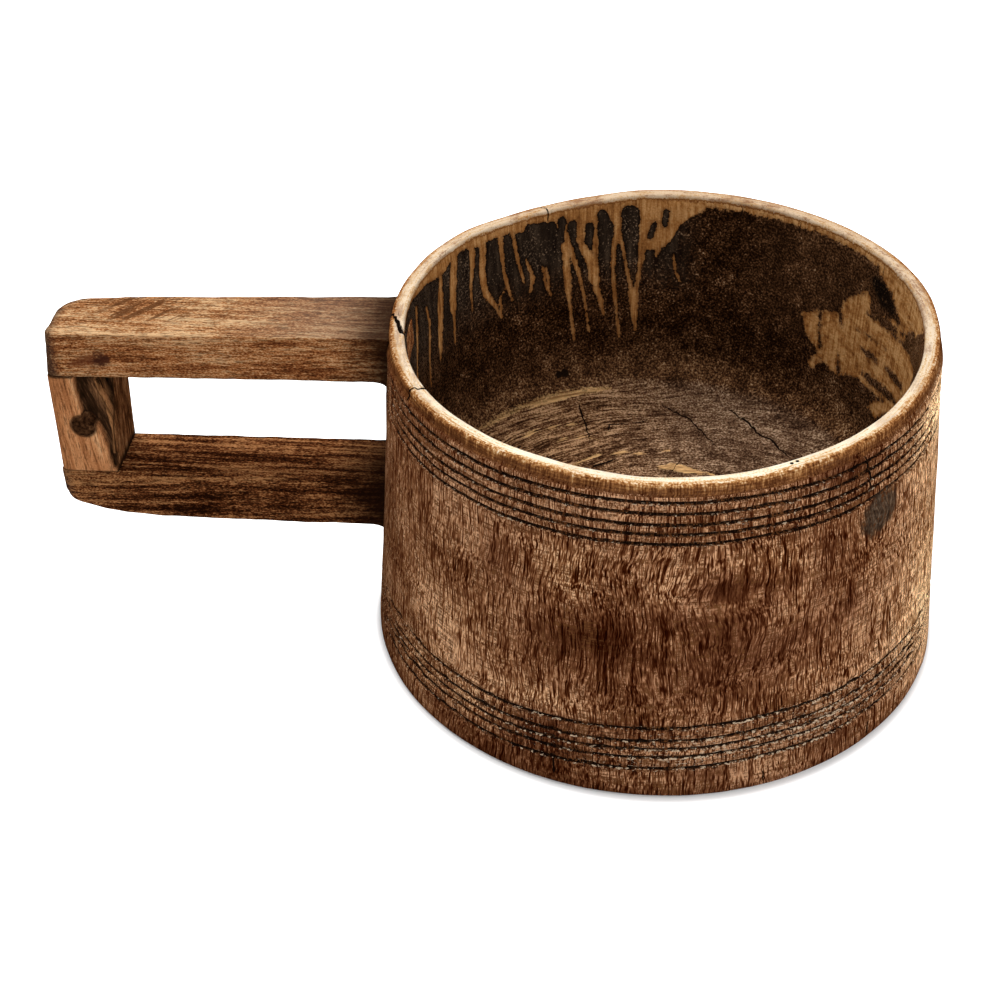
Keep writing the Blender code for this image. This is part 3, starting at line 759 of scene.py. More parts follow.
def openCracks(b):
    # each vertex keeps the nearest crack, and those on a crack sink
    b.across = np.full(len(b.body), mapEnd * mm)
    b.half = np.zeros(len(b.body))
    sunk = np.zeros(len(b.body))

    def addCrack(spots, width, depth, where):
        middle = np.mean(spots, axis=0)
        size = max(np.linalg.norm(s - middle) for s in spots) + 8 * mm
        pick = np.where(where & (np.linalg.norm(b.body - middle, axis=1) < size))[0]
        across, half = nearCrack(b.body[pick], b.normals[pick], spots, width * mm)
        closer = (np.abs(across) < np.abs(b.across[pick])) & (half > 0)
        b.across[pick] = np.where(closer, across, b.across[pick])
        b.half[pick] = np.where(closer, half, b.half[pick])
        fall = 1 - ease(0.35, 1.25, np.abs(across) / np.maximum(half, tiny))
        sunk[pick] = np.maximum(sunk[pick], fall * depth * mm * (half > 0))

    onTop = (b.onRim | b.inside | b.inGroove) & (b.z > 112 * mm)
    for outer, inner, width, depth in wear["rimCracks"]:
        fall = follow(wear["rimFall"], outer) * mm
        line = ((outer, outsideRadius(125 * mm), 126 * mm), (outer, outsideRadius(127 * mm), 129 * mm),
                (inner, hollowRadius + 1 * mm, 130 * mm), (inner, hollowRadius, 125 * mm))
        addCrack([polar(a, far, up - fall) for a, far, up in line], width, depth, onTop)
    for *line, width in wear["wallCracks"]:
        spots = [polar(a, outsideRadius(h * mm), h * mm) for a, h in line]
        addCrack(spots, width, wear["wallCrackDepth"], b.outside)
    atFloor = (b.onFloor | b.inside) & (b.z < 52 * mm)
    for *line, width in wear["floorCracks"]:
        spots = [np.array((x * mm, y * mm, bowl["floorTop"])) for x, y in line]
        addCrack(spots, width, wear["floorCrackDepth"], atFloor)
    b.body -= b.normals * sunk[:, None]


def onInside(stroke):
    # a stroke's degrees as mm round the inside
    return [(a * insideArc, *other) for a, *other in stroke]


def coatInside(b):
    # the coat as a signed distance in mm, above zero where it is
    pick = np.where(b.inside | b.onFloor | (b.onRim & (b.r < hollowRadius + 1.2 * mm)))[0]
    x, y = b.degrees[pick] * insideArc, b.height[pick]
    plain = b.plain[pick]
    ragged = 0.8 * lumps(plain * (1, 1, 0.25), 5 * mm, 31) + 0.5 * lumps(plain, 2.2 * mm, 32)

    def toStrokes(strokes):
        for stroke in strokes:
            yield strokeDistance(x, y, onInside(stroke))

    bare = follow(wear["bareStrip"], b.degrees[pick]) + ragged * 0.8 - y
    for away in toStrokes(wear["dripGaps"]):
        bare = np.minimum(bare, away)
    patch = outlineDistance(x, y, onInside(wear["scrapedPatch"])) + ragged * 0.7
    for away in toStrokes(wear["patchStreaks"]):
        patch = np.maximum(patch, -away - 0.3)
    bare = np.minimum(bare, patch)
    for away in toStrokes(wear["rightStrips"]):
        bare = np.minimum(bare, away + ragged)
    for away in toStrokes(wear["dripEnds"]):
        bare = np.maximum(bare, -away)
    b.blob = np.zeros(len(b.body))
    for away in toStrokes(wear["blackBlob"]):
        bare = np.maximum(bare, -away)
        b.blob[pick] = ease(1.5, -1.0, away + ragged)
    b.coat = np.full(len(b.body), -mapEnd)
    b.coat[pick] = np.clip(bare, -mapEnd, mapEnd)
    film = ease(-0.6, 0.6, b.coat) * np.where(b.inside, wear["coatThick"] * mm, 0)
    b.body += b.normals * film[:, None]


def turnFrom(b, degrees):
    return (b.degrees - degrees + 180) % 360 - 180


def softSpots(b, spots):
    # adds up soft patches: degrees, height, half width, half height, amount
    total = np.zeros(len(b.body))
    for a, h, wide, high, amount in spots:
        total += amount * np.exp(-(turnFrom(b, a) / wide) ** 2 - ((b.height - h) / high) ** 2)
    return total


def rimMaps(b):
    # how pale the rim is: most on its top, less to the outside and down
    outerSide = b.onRim & (b.r > hollowRadius + 0.5 * bowl["rimWide"])
    outwards = np.clip((b.r - hollowRadius - 3.1 * mm) / (2.4 * mm), 0, 1)
    downwards = np.clip((130.0 * mm - b.plainZ) / (7 * mm), 0, 1)
    rim = np.where(outerSide, 1 - 0.48 * outwards - 0.52 * downwards, 0)
    rim = np.where(b.onRim & ~outerSide, ease(127.6 * mm, 130.0 * mm, b.plainZ), rim)
    lathe = np.hypot(b.body[:, 0], b.body[:, 1]) - 0.7 * b.plainZ
    return {"rimShare": rim,
            "rimPale": follow(wear["rimPale"], b.degrees),
            "lathe": rolledUp(lathe, b.angle),
            "outside": np.where(b.outside | (b.zone == "base") | outerSide, 1.0, 0.0)}


def wallMaps(b):
    # clouds, the grain's eyes, the knot and the broken lands of the outside
    light = softSpots(b, wear["clouds"])
    eyeDegrees, eyeHeight, _ = wear["grainEyes"][0]
    eyeX, eyeY = (b.degrees - eyeDegrees) * wallArc, b.height - eyeHeight
    eyeFar = np.hypot(eyeX * 0.5, eyeY - 0.12 * eyeX)
    light += 0.06 * np.cos(eyeFar * math.tau / 5) * np.exp(-eyeFar / 12)
    light += 0.07 * np.cos(eyeFar * math.tau / 15) * np.exp(-eyeFar / 26) * ease(-14, 6, eyeX * 0.4 - eyeY)
    light -= 0.12 * ease(6, 0, b.height)    # painted shade: darker along the foot's lower edge, where it meets the floor
    light = np.where(b.outside, light, 0)
    # the pores are fine in the eye's middle and in the dark clouds
    calm = (1 - 0.40 * np.exp(-(eyeFar / 6) ** 2)) * follow(wear["cloudPores"], light)

    grain = b.body.copy()
    tangent = np.stack((-b.outward[:, 1], b.outward[:, 0], b.outward[:, 2]), 1)
    for a, h, size in wear["grainEyes"]:
        turn, up = turnFrom(b, a) * wallArc, b.height - h
        pull = np.minimum(0.38, size ** 2 / (turn ** 2 + 0.7 * up ** 2 + 0.6 * size ** 2))
        pull = np.where(b.outside, pull * np.exp(-np.hypot(turn, up) / (size * 3.6)), 0)
        grain -= (turn * pull * mm)[:, None] * tangent
        grain[:, 2] += up * pull * mm * 0.8

    knotDegrees, knotHeight, knotLong, knotWide, knotTilt = wear["greyKnot"]
    side, up = (b.degrees - knotDegrees) * degree * wear["knotRadius"], b.height - knotHeight
    cos, sin = math.cos(math.radians(knotTilt)), math.sin(math.radians(knotTilt))
    knot = 1 - np.hypot((side * cos + up * sin) / knotLong, (up * cos - side * sin) / knotWide)

    # painted shade: the wall darkens near the arms' ends
    nearArm = np.zeros(len(b.body))
    for low, high, wide in wear["armEnds"]:
        gapY = np.maximum(np.abs(b.body[:, 1]) / mm - wide, 0)
        gapZ = np.maximum(np.maximum(low - b.height, b.height - high), 0)
        nearArm = np.maximum(nearArm, np.exp(-np.hypot(gapY, gapZ) / 5.0))
    return {"light": light,
            "poreShare": calm * follow(wear["pores"], b.degrees),
            "grain": grain,
            "knot": np.where(b.outside, knot, -3),
            "nearArm": np.where(b.outside & (b.body[:, 0] < 0), nearArm, 0),
            "grooveShare": np.where(b.inGroove, b.groove, 0),
            "bandShare": np.where(b.inGroove, np.where(b.lower, 1.0, 0.75), 0),
            "chipped": np.where(b.inGroove, softSpots(b, wear["chipZones"]), 0)}


def insideMaps(b):
    # the coat's kinds of speckle, and the floor's rings and light arcs
    rightHalf = ease(88, 78, b.degrees) * ease(-100, -80, b.degrees)
    brownCoat = ease(74, 52, b.degrees) * ease(-20, 0, b.degrees) * ease(66, 100, b.height)
    fromPith = b.body[:, 0:2] - np.array(wear["pith"]) * mm
    ringRadius = np.hypot(fromPith[:, 0] * 0.92, fromPith[:, 1])
    ringRadius += uneven("ringBends", b.body) + uneven("smallRingBends", b.body)
    low = b.onFloor | b.inside
    x, y = b.degrees * insideArc, np.hypot(b.body[:, 0], b.body[:, 1]) / mm
    onArc = np.full(len(b.body), mapEnd)
    for stroke in wear["floorArcs"]:
        onArc = np.minimum(onArc, strokeDistance(x, y, onInside(stroke)))
    return {"coat": b.coat,
            "blob": b.blob,
            "rightHalf": rightHalf,
            "brownCoat": brownCoat,
            "speckled": np.maximum(rightHalf, ease(110 * mm, 84 * mm, b.z)),
            "wallLow": np.where(b.inside, 1 - ease(50 * mm, 78 * mm, b.z), 0),
            "floorShare": np.where(low, 1 - ease(47.4 * mm, 54 * mm, b.z), 0),
            "floorWarm": ease(30, -40, b.body[:, 0] / mm) * 0.9 + 0.1,
            "floorArc": np.where(low & (b.z < 54 * mm), ease(1.3, -1.0, onArc), 0),
            "rings": rolledUp(ringRadius, np.arctan2(fromPith[:, 1], fromPith[:, 0]))}


def shapeBowl(piece):
    b = bowlPlaces(piece)
    breakGrooves(b)
    wearBowl(b)
    b.height = b.z / mm
    writePoints(piece, b.body)
    b.normals = readNormals(piece)
    openCracks(b)
    coatInside(b)
    writePoints(piece, b.body)
    keepMaps(piece, **rimMaps(b), **wallMaps(b), **insideMaps(b))
    keepMaps(piece, crackSide=b.across / mm, crackHalf=b.half / mm)


shapeBowl(bowlPiece)
print("bowl shaped")


wallLook = {
    "bends": ((40, 5.0), (180, 1.0)),    # how often the grain bends, per metre, and how far in mm
    "pores": (1500, 50, -1.6),           # how often across and along the grain, and how strong
    "poreDetail": 3,
    "lines": (0.53, 0.58, 0.26),         # where a pore starts and is full, and how dark it is
    "fine": (2600, 260, 1.7),
    "fibres": (420, 20, 1.0),
    "drift": 0.8,
    "light": 0.5,                        # the clouds' share in the tone
    "shade": (3.4, 4.3, 4.5),            # and in the brightness of red, green and blue
    "middle": 0.66,
}
bowlColours = {
    # ramps from dark to light
    "wall": ((0.00, (0.016, 0.002, 0.000)), (0.20, (0.044, 0.007, 0.001)), (0.36, (0.074, 0.018, 0.005)),
             (0.50, (0.122, 0.039, 0.014)), (0.64, (0.220, 0.084, 0.034)), (0.78, (0.385, 0.172, 0.078)),
             (0.97, (0.780, 0.430, 0.235))),
    "knot": ((0.32, (0.016, 0.009, 0.005)), (0.50, (0.052, 0.034, 0.022)), (0.70, (0.150, 0.104, 0.070))),
    "rim": ((0.16, (0.075, 0.024, 0.008)), (0.44, (0.150, 0.052, 0.016)), (0.64, (0.330, 0.135, 0.040)),
            (0.78, (0.540, 0.290, 0.110)), (0.90, (0.740, 0.550, 0.330)), (1.00, (0.880, 0.770, 0.600))),
    "bare": ((0.25, (0.140, 0.048, 0.012)), (0.50, (0.380, 0.165, 0.048)), (0.75, (0.620, 0.340, 0.135))),
    "drips": ((0.30, (0.007, 0.004, 0.003)), (0.52, (0.022, 0.014, 0.009)), (0.72, (0.058, 0.038, 0.024))),
    # in the speck ramps the palest stop is a painted glint, the rest the coat's own specks
    "specks": ((0.26, (0.004, 0.001, 0.000)), (0.46, (0.020, 0.008, 0.003)), (0.64, (0.070, 0.028, 0.011)),
               (0.82, (0.190, 0.092, 0.040)), (0.99, (0.560, 0.380, 0.230))),
    "brownSpecks": ((0.26, (0.022, 0.009, 0.004)), (0.50, (0.074, 0.032, 0.013)),
                    (0.80, (0.200, 0.098, 0.044)), (0.99, (0.520, 0.350, 0.210))),
    "lowSpecks": ((0.23, (0.010, 0.003, 0.001)), (0.44, (0.054, 0.021, 0.008)), (0.62, (0.155, 0.072, 0.030)),
                  (0.80, (0.310, 0.168, 0.078)), (0.99, (0.640, 0.450, 0.270))),
    "greyFloor": ((0.14, (0.020, 0.008, 0.004)), (0.42, (0.100, 0.053, 0.029)), (0.62, (0.215, 0.122, 0.070)),
                  (0.92, (0.560, 0.390, 0.250))),
    "warmFloor": ((0.16, (0.028, 0.010, 0.004)), (0.42, (0.116, 0.052, 0.023)), (0.62, (0.245, 0.120, 0.056)),
                  (0.90, (0.560, 0.325, 0.165))),
    "arcs": ((0.35, (0.360, 0.180, 0.068)), (0.65, (0.820, 0.500, 0.215))),
    # single colours
    "landDirt": (0.018, 0.007, 0.004),
    "grooveDirt": (0.006, 0.003, 0.002),
    "chips": (0.76, 0.57, 0.39),
    # painted shade where the arms meet the wall
    "knotRing": (0.022, 0.011, 0.006),
    "shadeAtArms": (0.014, 0.006, 0.003),
    "rimStain": (0.300, 0.130, 0.046),
    "rimTan": (0.50, 0.36, 0.25),
    "bareEdge": (0.150, 0.056, 0.016),
    "dripGlints": (0.260, 0.170, 0.105),
    "dripEdge": (0.006, 0.003, 0.002),
    "blob": (0.005, 0.003, 0.002),
    "pits": (0.014, 0.007, 0.004),
    "hole": (0.004, 0.002, 0.001),
    "pinHole": (0.006, 0.003, 0.002),
    "crack": (0.005, 0.003, 0.002),
}


def bowlNoises(m):
    # what several parts of the bowl's finish share
    n = SimpleNamespace(place=m.place(), outside=m.value("outside"), rings=m.vector("rings"))
    flow = m.vector("grain")
    for often, far in wallLook["bends"]:
        flow = m.warp(flow, often, far * mm)
    across, along, _ = wallLook["pores"]
    n.dashes = m.fibres(flow, (across, across, along), wallLook["poreDetail"])
    across, along, _ = wallLook["fine"]
    n.fine = m.fibres(flow, (across, across, along), 1, shift=(3, 1, 2))
    across, along, _ = wallLook["fibres"]
    n.fibres = m.fibres(flow, (across, across, along), 4, 0.6)
    n.speckle = m.clouds(n.place, 1250, 3, 0.6)
    n.mottle = m.clouds(n.place, 150, 3, 0.6)
    n.blotch = m.clouds(n.place, 45, 3, 0.6)
    n.band = m.value("bandShare")
    n.speck = m.fibres(n.place, (330, 330, 1900), 2, 0.6)
    return n


def wallWood(m, n):
    # thin dark pores and light fibres of a log that was turned standing up
    drift = m.fibres(n.place, (26, 26, 34), 3)
    light, pores = m.value("light"), m.value("poreShare")
    tone = m.weigh(wallLook["middle"], (n.fibres, wallLook["fibres"][2]), (drift, wallLook["drift"]))
    tone = m.lift(tone, light, wallLook["light"])
    texture = m.weigh(0.0, (n.dashes, wallLook["pores"][2]), (n.fine, wallLook["fine"][2]))
    tone = m.lift(tone, texture, pores)
    start, full, dark = wallLook["lines"]
    tone = m.lift(tone, m.times(m.span(n.dashes, start, full), pores), -dark)
    wood = m.ramp(tone, bowlColours["wall"])
    shades = [m.maths("EXPONENT", m.times(light, share)) for share in wallLook["shade"]]
    shade = m.node("ShaderNodeCombineXYZ", dict(zip("XYZ", shades))).outputs[0]
    wood = m.vectors("MULTIPLY", wood, shade)

    # black dirt in the grooves, pale broken fibres along their edges
    groove = m.value("grooveShare")
    wood = m.stain(wood, bowlColours["landDirt"], n.band, m.span(n.speck, 0.52, 0.34), 0.75)
    ragged = m.fray(groove, (m.fibres(n.place, (420, 420, 1100), 3, 0.65), 1.2))
    dirt = m.times(m.span(groove, 0.02, 0.12), m.span(ragged, 0.10, 0.60))
    wood = m.stain(wood, bowlColours["grooveDirt"], dirt, 0.97)
    splinters = m.lift(m.fibres(n.place, (700, 700, 1500), 2, 0.6), m.value("chipped"), 0.13)
    lips = m.times(m.span(groove, 0.02, 0.15), m.span(groove, 0.9, 0.5), m.span(splinters, 0.615, 0.665))
    lands = m.times(m.span(splinters, 0.70, 0.75), m.span(groove, 0.35, 0.05), 0.7)
    wood = m.stain(wood, bowlColours["chips"], n.band, m.maths("MAXIMUM", lips, lands), 0.95)

    # grey knot, painted shade where the arms meet the wall
    knot = m.fray(m.value("knot"), (m.clouds(n.place, 260, 3), 0.7))
    knotGrain = m.fibres(n.place, (900, 900, 260), 3, 0.6, turn=(0.5, 0.5, 0))
    knotWood = m.ramp(knotGrain, bowlColours["knot"])
    knotWood = m.stain(knotWood, bowlColours["knotRing"], m.span(knot, 0.55, 0.10), 0.75)
    wood = m.stain(wood, knotWood, m.span(knot, -0.06, 0.30), 0.92)
    return m.stain(wood, bowlColours["shadeAtArms"], m.value("nearArm"), 0.88)


def rimWood(m, n):
    # bare and pale on top, then orange, then brown on its outer side
    share, pale = m.value("rimShare"), m.value("rimPale")
    grain = m.fibres(n.rings, (900, 800, 800), 4, 0.65)
    fleck = m.clouds(n.place, 1500, 2, 0.6)
    lines = m.fibres(m.warp(m.vector("lathe"), 300, 0.5 * mm), (1500, 1400, 1400), 3, 0.6)
    upright = m.times(m.weigh(0.0, (n.dashes, -1.1), (n.fibres, 0.7)), m.span(share, 0.97, 0.70))
    rim = m.maths("ADD", m.fray(share, (fleck, 0.6), (lines, 0.9)), upright)
    wood = m.ramp(rim, bowlColours["rim"])
    stain = m.weigh(0.5, (m.clouds(n.place, 95, 4, 0.65), 1.0), (lines, 0.7), (fleck, 0.5), (grain, 0.4))
    stain, bared = m.span(stain, 0.48, 0.70), m.span(pale, 0.3, 1.0, 0.8, 0.25)
    wood = m.stain(wood, bowlColours["rimStain"], stain, bared)
    tan = m.mix(1.0, wood, bowlColours["rimTan"], "MULTIPLY")
    return rim, m.mix(pale, tan, wood)


def coatedWood(m, n):
    # orange wood under a dark glossy coat that has run in drips
    right = m.value("rightHalf")
    grain = m.fibres(n.place, (800, 800, 60), 4, 0.65)
    brushed = m.fibres(n.place, (480, 60, 480), 3, 0.6)
    bareTone = m.weigh(0.51, (grain, 1.1), (n.speckle, 0.4), (n.mottle, 0.5))
    bareTone = m.lift(bareTone, m.times(right, m.weigh(0.06, (brushed, 0.9))), 1.0)
    bare = m.ramp(bareTone, bowlColours["bare"])
    ragged = m.weigh(0.0, (m.clouds(n.place, 380, 3, 0.65), 2.6), (m.clouds(n.place, 1500, 2), 1.2))
    edge = m.maths("ADD", m.value("coat"), m.times(ragged, m.span(right, 0, 1, 0.8, 1.7)))
    coat = m.span(m.maths("DIVIDE", edge, m.span(right, 0, 1, 0.14, 0.35)), -1.0, 1.0)
    bare = m.stain(bare, bowlColours["bareEdge"], m.span(edge, -1.5, 0.1), 0.65)

    runs = m.fibres(n.place, (420, 420, 60), 3, 0.6)
    drips = m.ramp(runs, bowlColours["drips"])
    # painted glints: pale flecks over the drips
    flecks = m.span(m.weigh(0.5, (n.speckle, 1.0), (n.blotch, 0.5)), 0.58, 0.72)
    drips = m.stain(drips, bowlColours["dripGlints"], flecks, 0.8)
    drips = m.stain(drips, bowlColours["dripEdge"], m.span(edge, 1.1, 0.1))
    specks = m.weigh(0.48, (n.speckle, 1.9), (n.mottle, 0.7), (n.blotch, 0.4))
    dark, brown, low = (m.ramp(specks, bowlColours[name]) for name in ("specks", "brownSpecks", "lowSpecks"))
    dark = m.stain(dark, brown, m.value("brownCoat"), 0.6)
    colour = m.mix(m.value("speckled"), drips, dark)
    colour = m.mix(m.value("wallLow"), colour, low)
    colour = m.stain(colour, bowlColours["blob"], m.value("blob"), m.span(n.speckle, 0.72, 0.60))
    return coat, m.mix(coat, bare, colour)


def floorWood(m, n):
    # grey end grain with its rings, warmer to the left
    ringTone = m.fibres(n.rings, (260, 420, 420), 3, 0.6)
    ringFine = m.fibres(n.rings, (1150, 1500, 1500), 2, 0.6)
    warm = m.value("floorWarm")
    tone = m.weigh(0.50, (n.mottle, 0.7), (n.speckle, 1.9), (n.blotch, 0.5))
    tone = m.lift(tone, m.weigh(0.0, (ringTone, 0.9), (ringFine, 2.2)), m.span(warm, 0, 1, 0.35, 0.9))
    wood = m.mix(warm, m.ramp(tone, bowlColours["greyFloor"]), m.ramp(tone, bowlColours["warmFloor"]))
    pits = m.span(m.clouds(n.place, 900, 2, 0.6), 0.60, 0.68)
    wood = m.stain(wood, bowlColours["pits"], pits, 0.6)
    arcs = m.span(m.fray(m.value("floorArc"), (ringFine, 1.0), (n.speckle, 0.6)), 0.35, 0.70)
    wood = m.stain(wood, m.ramp(ringFine, bowlColours["arcs"]), arcs, 0.9)
    share = m.span(m.fray(m.value("floorShare"), (n.speckle, 0.9), (n.mottle, 0.6)), 0.30, 0.90)
    return share, wood, m.weigh(0.0, (tone, 1.2), (pits, -0.6))


def bowlWood():
    m = Mixer("bowl_wood")
    n = bowlNoises(m)
    rim, rimColour = rimWood(m, n)
    wood = m.stain(wallWood(m, n), rimColour, m.span(rim, 0.02, 0.26), 0.95)
    coat, inside = coatedWood(m, n)
    floorShare, floorColour, floorHeight = floorWood(m, n)
    inside = m.mix(floorShare, inside, floorColour)
    inside = m.mix(m.span(rim, 0.35, 0.60), inside, rimColour)
    # painted shade: the holes and pin holes are not cut, only painted as dark spots
    for degrees, far, up, radius in wear["holes"]:
        spot = m.spot(n.place, polar(degrees, far * mm, up * mm), radius * mm)
        inside = m.mix(spot, inside, bowlColours["hole"])
    for degrees, far, radius in wear["pinHoles"]:
        spot = m.spot(m.stretch(n.place, (1, 1, 0)), polar(degrees, far * mm, 0), radius * mm)
        inside = m.mix(spot, inside, bowlColours["pinHole"])
    colour = m.mix(n.outside, inside, wood)

    half = m.value("crackHalf")
    crack = m.maths("DIVIDE", m.maths("ABSOLUTE", m.value("crackSide")), m.maths("MAXIMUM", half, 0.01))
    crack = m.span(m.fray(crack, (m.clouds(n.place, 1400, 2), 0.9)), 1.15, 0.75)
    crack = m.times(crack, m.span(half, 0.05, 0.18))
    colour = m.mix(crack, colour, bowlColours["crack"])

    # gloss and surface
    coatOnly = m.times(coat, m.rest(n.outside), m.rest(floorShare))
    roughWood, roughCoat = m.span(n.fibres, 0.3, 0.7, 0.56, 0.74), m.span(n.speckle, 0.4, 0.7, 0.22, 0.55)
    roughness = m.blend(coatOnly, roughWood, roughCoat)
    wallHeight = m.weigh(0.0, (n.dashes, 2.2), (n.fibres, 0.4), (n.fine, 0.6))
    wallHeight = m.times(wallHeight, m.span(rim, 0.75, 0.35))
    insideHeight = m.weigh(0.0, (n.speckle, 1.6), (coat, 0.5), (n.mottle, 0.8))
    insideHeight = m.times(m.blend(floorShare, insideHeight, floorHeight), m.span(rim, 0.60, 0.35))
    height = m.blend(n.outside, insideHeight, wallHeight)
    height = m.maths("SUBTRACT", height, m.times(crack, 2.0))
    height = m.maths("ADD", height, m.times(n.band, n.speck, 1.6))
    return m.finish(colour, roughness, height, 0.6, 0.38 * mm, m.times(coatOnly, 0.06))


finishPiece(bowlPiece, "bowl_body", bowlWood())
print("bowl finished:", sum(len(p.vertices) - 2 for p in bowlPiece.data.polygons), "triangles")


# the handle: two arms and the end post, each shaped from a block

def block(name, low, high, cuts):
    # a cube at its size and place, cut into a grid by subdividing its edges along each axis
    clearSelection()
    bpy.ops.mesh.primitive_cube_add(size=1)
    piece = takeNew(name)
    for axis in range(3):
        ends = readPoints(piece)[edgeEnds(piece)]
        cutEdges(piece, np.abs(ends[:, 0, axis] - ends[:, 1, axis]) > 0.999, cuts[axis])
    unit = readPoints(piece) * 2    # -1 to 1
    writePoints(piece, (low + high) / 2 + unit * (high - low) / 2)
    return piece


def crowdToEdges(points, low, high, reach):
    # draws the grid lines nearest an edge closer to it, so that the edge can be rounded
    middle, halfSize = (low + high) / 2, (high - low) / 2
    share = np.minimum(np.abs(points - middle) / halfSize, 1)
    start = 1 - 5 * reach / halfSize    # the lines within five times the reach are drawn
    crowded = np.where(share > start, 1 - (1 - share) ** 1.6 / np.maximum(1 - start, tiny) ** 0.6, share)
    return middle + np.sign(points - middle) * crowded * halfSize


def roundEdges(points, low, high, radius):
    core = np.clip(points, low + radius[:, None], high - radius[:, None])
    away = points - core
    length = np.linalg.norm(away, axis=1)
    onEdge = (np.abs(away) > 1e-7).sum(axis=1) > 1
    scale = np.where(onEdge, radius / np.maximum(length, 1e-9), 1)
    return core + away * scale[:, None]


def roundCorner(points, axisA, axisB, cornerA, cornerB, radius, signA, signB):
    # turns a square corner, seen along the third axis, into a round one
    a = (points[:, axisA] - (cornerA - signA * radius)) * signA
    b = (points[:, axisB] - (cornerB - signB * radius)) * signB
    there = (a > 0) & (b > 0)
    length = np.maximum(np.hypot(a, b), 1e-9)
    scale = np.where(there, np.maximum(a, b) / length, 1)
    points[:, axisA] = np.where(there, cornerA + signA * (a * scale - radius), points[:, axisA])
    points[:, axisB] = np.where(there, cornerB + signB * (b * scale - radius), points[:, axisB])
    return points


def roundOuterEnd(points, low, high):
    # both upright corners at the handle's outer end, seen from above
    points = roundCorner(points, 0, 1, low[0], high[1], arms["backRound"], -1, 1)
    return roundCorner(points, 0, 1, low[0], low[1], arms["frontRound"], -1, -1)


def wearBlock(points, low, high, edge, seed, endRound=0.0):
    points = crowdToEdges(points, low, high, max(edge, endRound * 0.5))
    radius = edge * (1.0 + 0.45 * lumps(points, 13 * mm, seed) + 0.35 * lumps(points, 4 * mm, seed + 1))
    if endRound:
        # rounder over the top at the outer end and its back corner
        there = ease(low[0] + 26 * mm, low[0] + 14 * mm, points[:, 0])
        there *= ease(low[1], low[1] + 9 * mm, points[:, 1])
        radius += (endRound - edge) * there * (points[:, 2] > (low[2] + high[2]) / 2)
    return roundEdges(points, low, high, np.clip(radius, 0.3 * mm, None))


def meetBowl(points, outerEnd, innerEnd, sink):
    # the shoulder follows the bowl's wall
    wall = -np.sqrt(outsideRadius(points[:, 2]) ** 2 - points[:, 1] ** 2) + sink
    share = (points[:, 0] - outerEnd) / (innerEnd - outerEnd)
    points[:, 0] = outerEnd + share * (wall - outerEnd)
    return wall - points[:, 0]


arms = {
    # how far each arm reaches out, drops and lifts past its solid, and its back face widens at each end
    "upper": {
        "node": "handle_upper_arm", "width": 28.4 * mm, "edge": 0.9 * mm, "endRound": 2.2 * mm, "seed": 51,
        "reach": 0.2 * mm, "drop": -0.3 * mm, "lift": 0.4 * mm, "backOuter": -1.2 * mm, "backInner": 2.3 * mm,
    },
    "lower": {
        "node": "handle_lower_arm", "width": 25.8 * mm, "edge": 1.1 * mm, "endRound": 0.0, "seed": 61,
        "reach": 1.2 * mm, "drop": 1.8 * mm, "lift": 0.0, "backOuter": 1.8 * mm, "backInner": 0.4 * mm,
    },
    "cuts": (100, 34, 22),
    "backRound": 11.5 * mm,    # outer back corner, seen from above
    "frontRound": 3.6 * mm,
    "endLean": 2.2 * mm,    # how far the upper arm's end leans out at its foot
    "heelRound": 6.5 * mm,    # outer corner below the lower arm
    # how far the lower arm's underside has worn up: mm from the outer end, mm
    "heelWear": ((0, 9.6), (5.5, 7.6), (14, 4.8), (21, 3.3), (28, 2.3), (36, 1.5), (58, 1.0), (90, 0.3),
                 (122, 0.0)),
    "dents": 0.22 * mm,
    "smallDents": 0.09 * mm,
    "sink": 0.5 * mm,    # how deep the shoulder stands in the wall
    "fillet": 2.2 * mm,    # the flare below the shoulder, and the smaller ones above and beside it
    "topFlare": 0.3 * mm,
    "sideFlare": 0.7 * mm,
    # a dark spot on the front of the upper arm, and its smear: (x, z) in mm and width
    "spot": ((-200.6, 116.9, 5.4), (-201.6, 116.6, 5.6)),
    "smear": ((-201.0, 116.6, 6.5), (-206.5, 116.0, 5.5), (-213.0, 114.5, 2.5)),
    "slantedAt": (-188, 18),    # the slanting lines on top: x and half length in mm
}


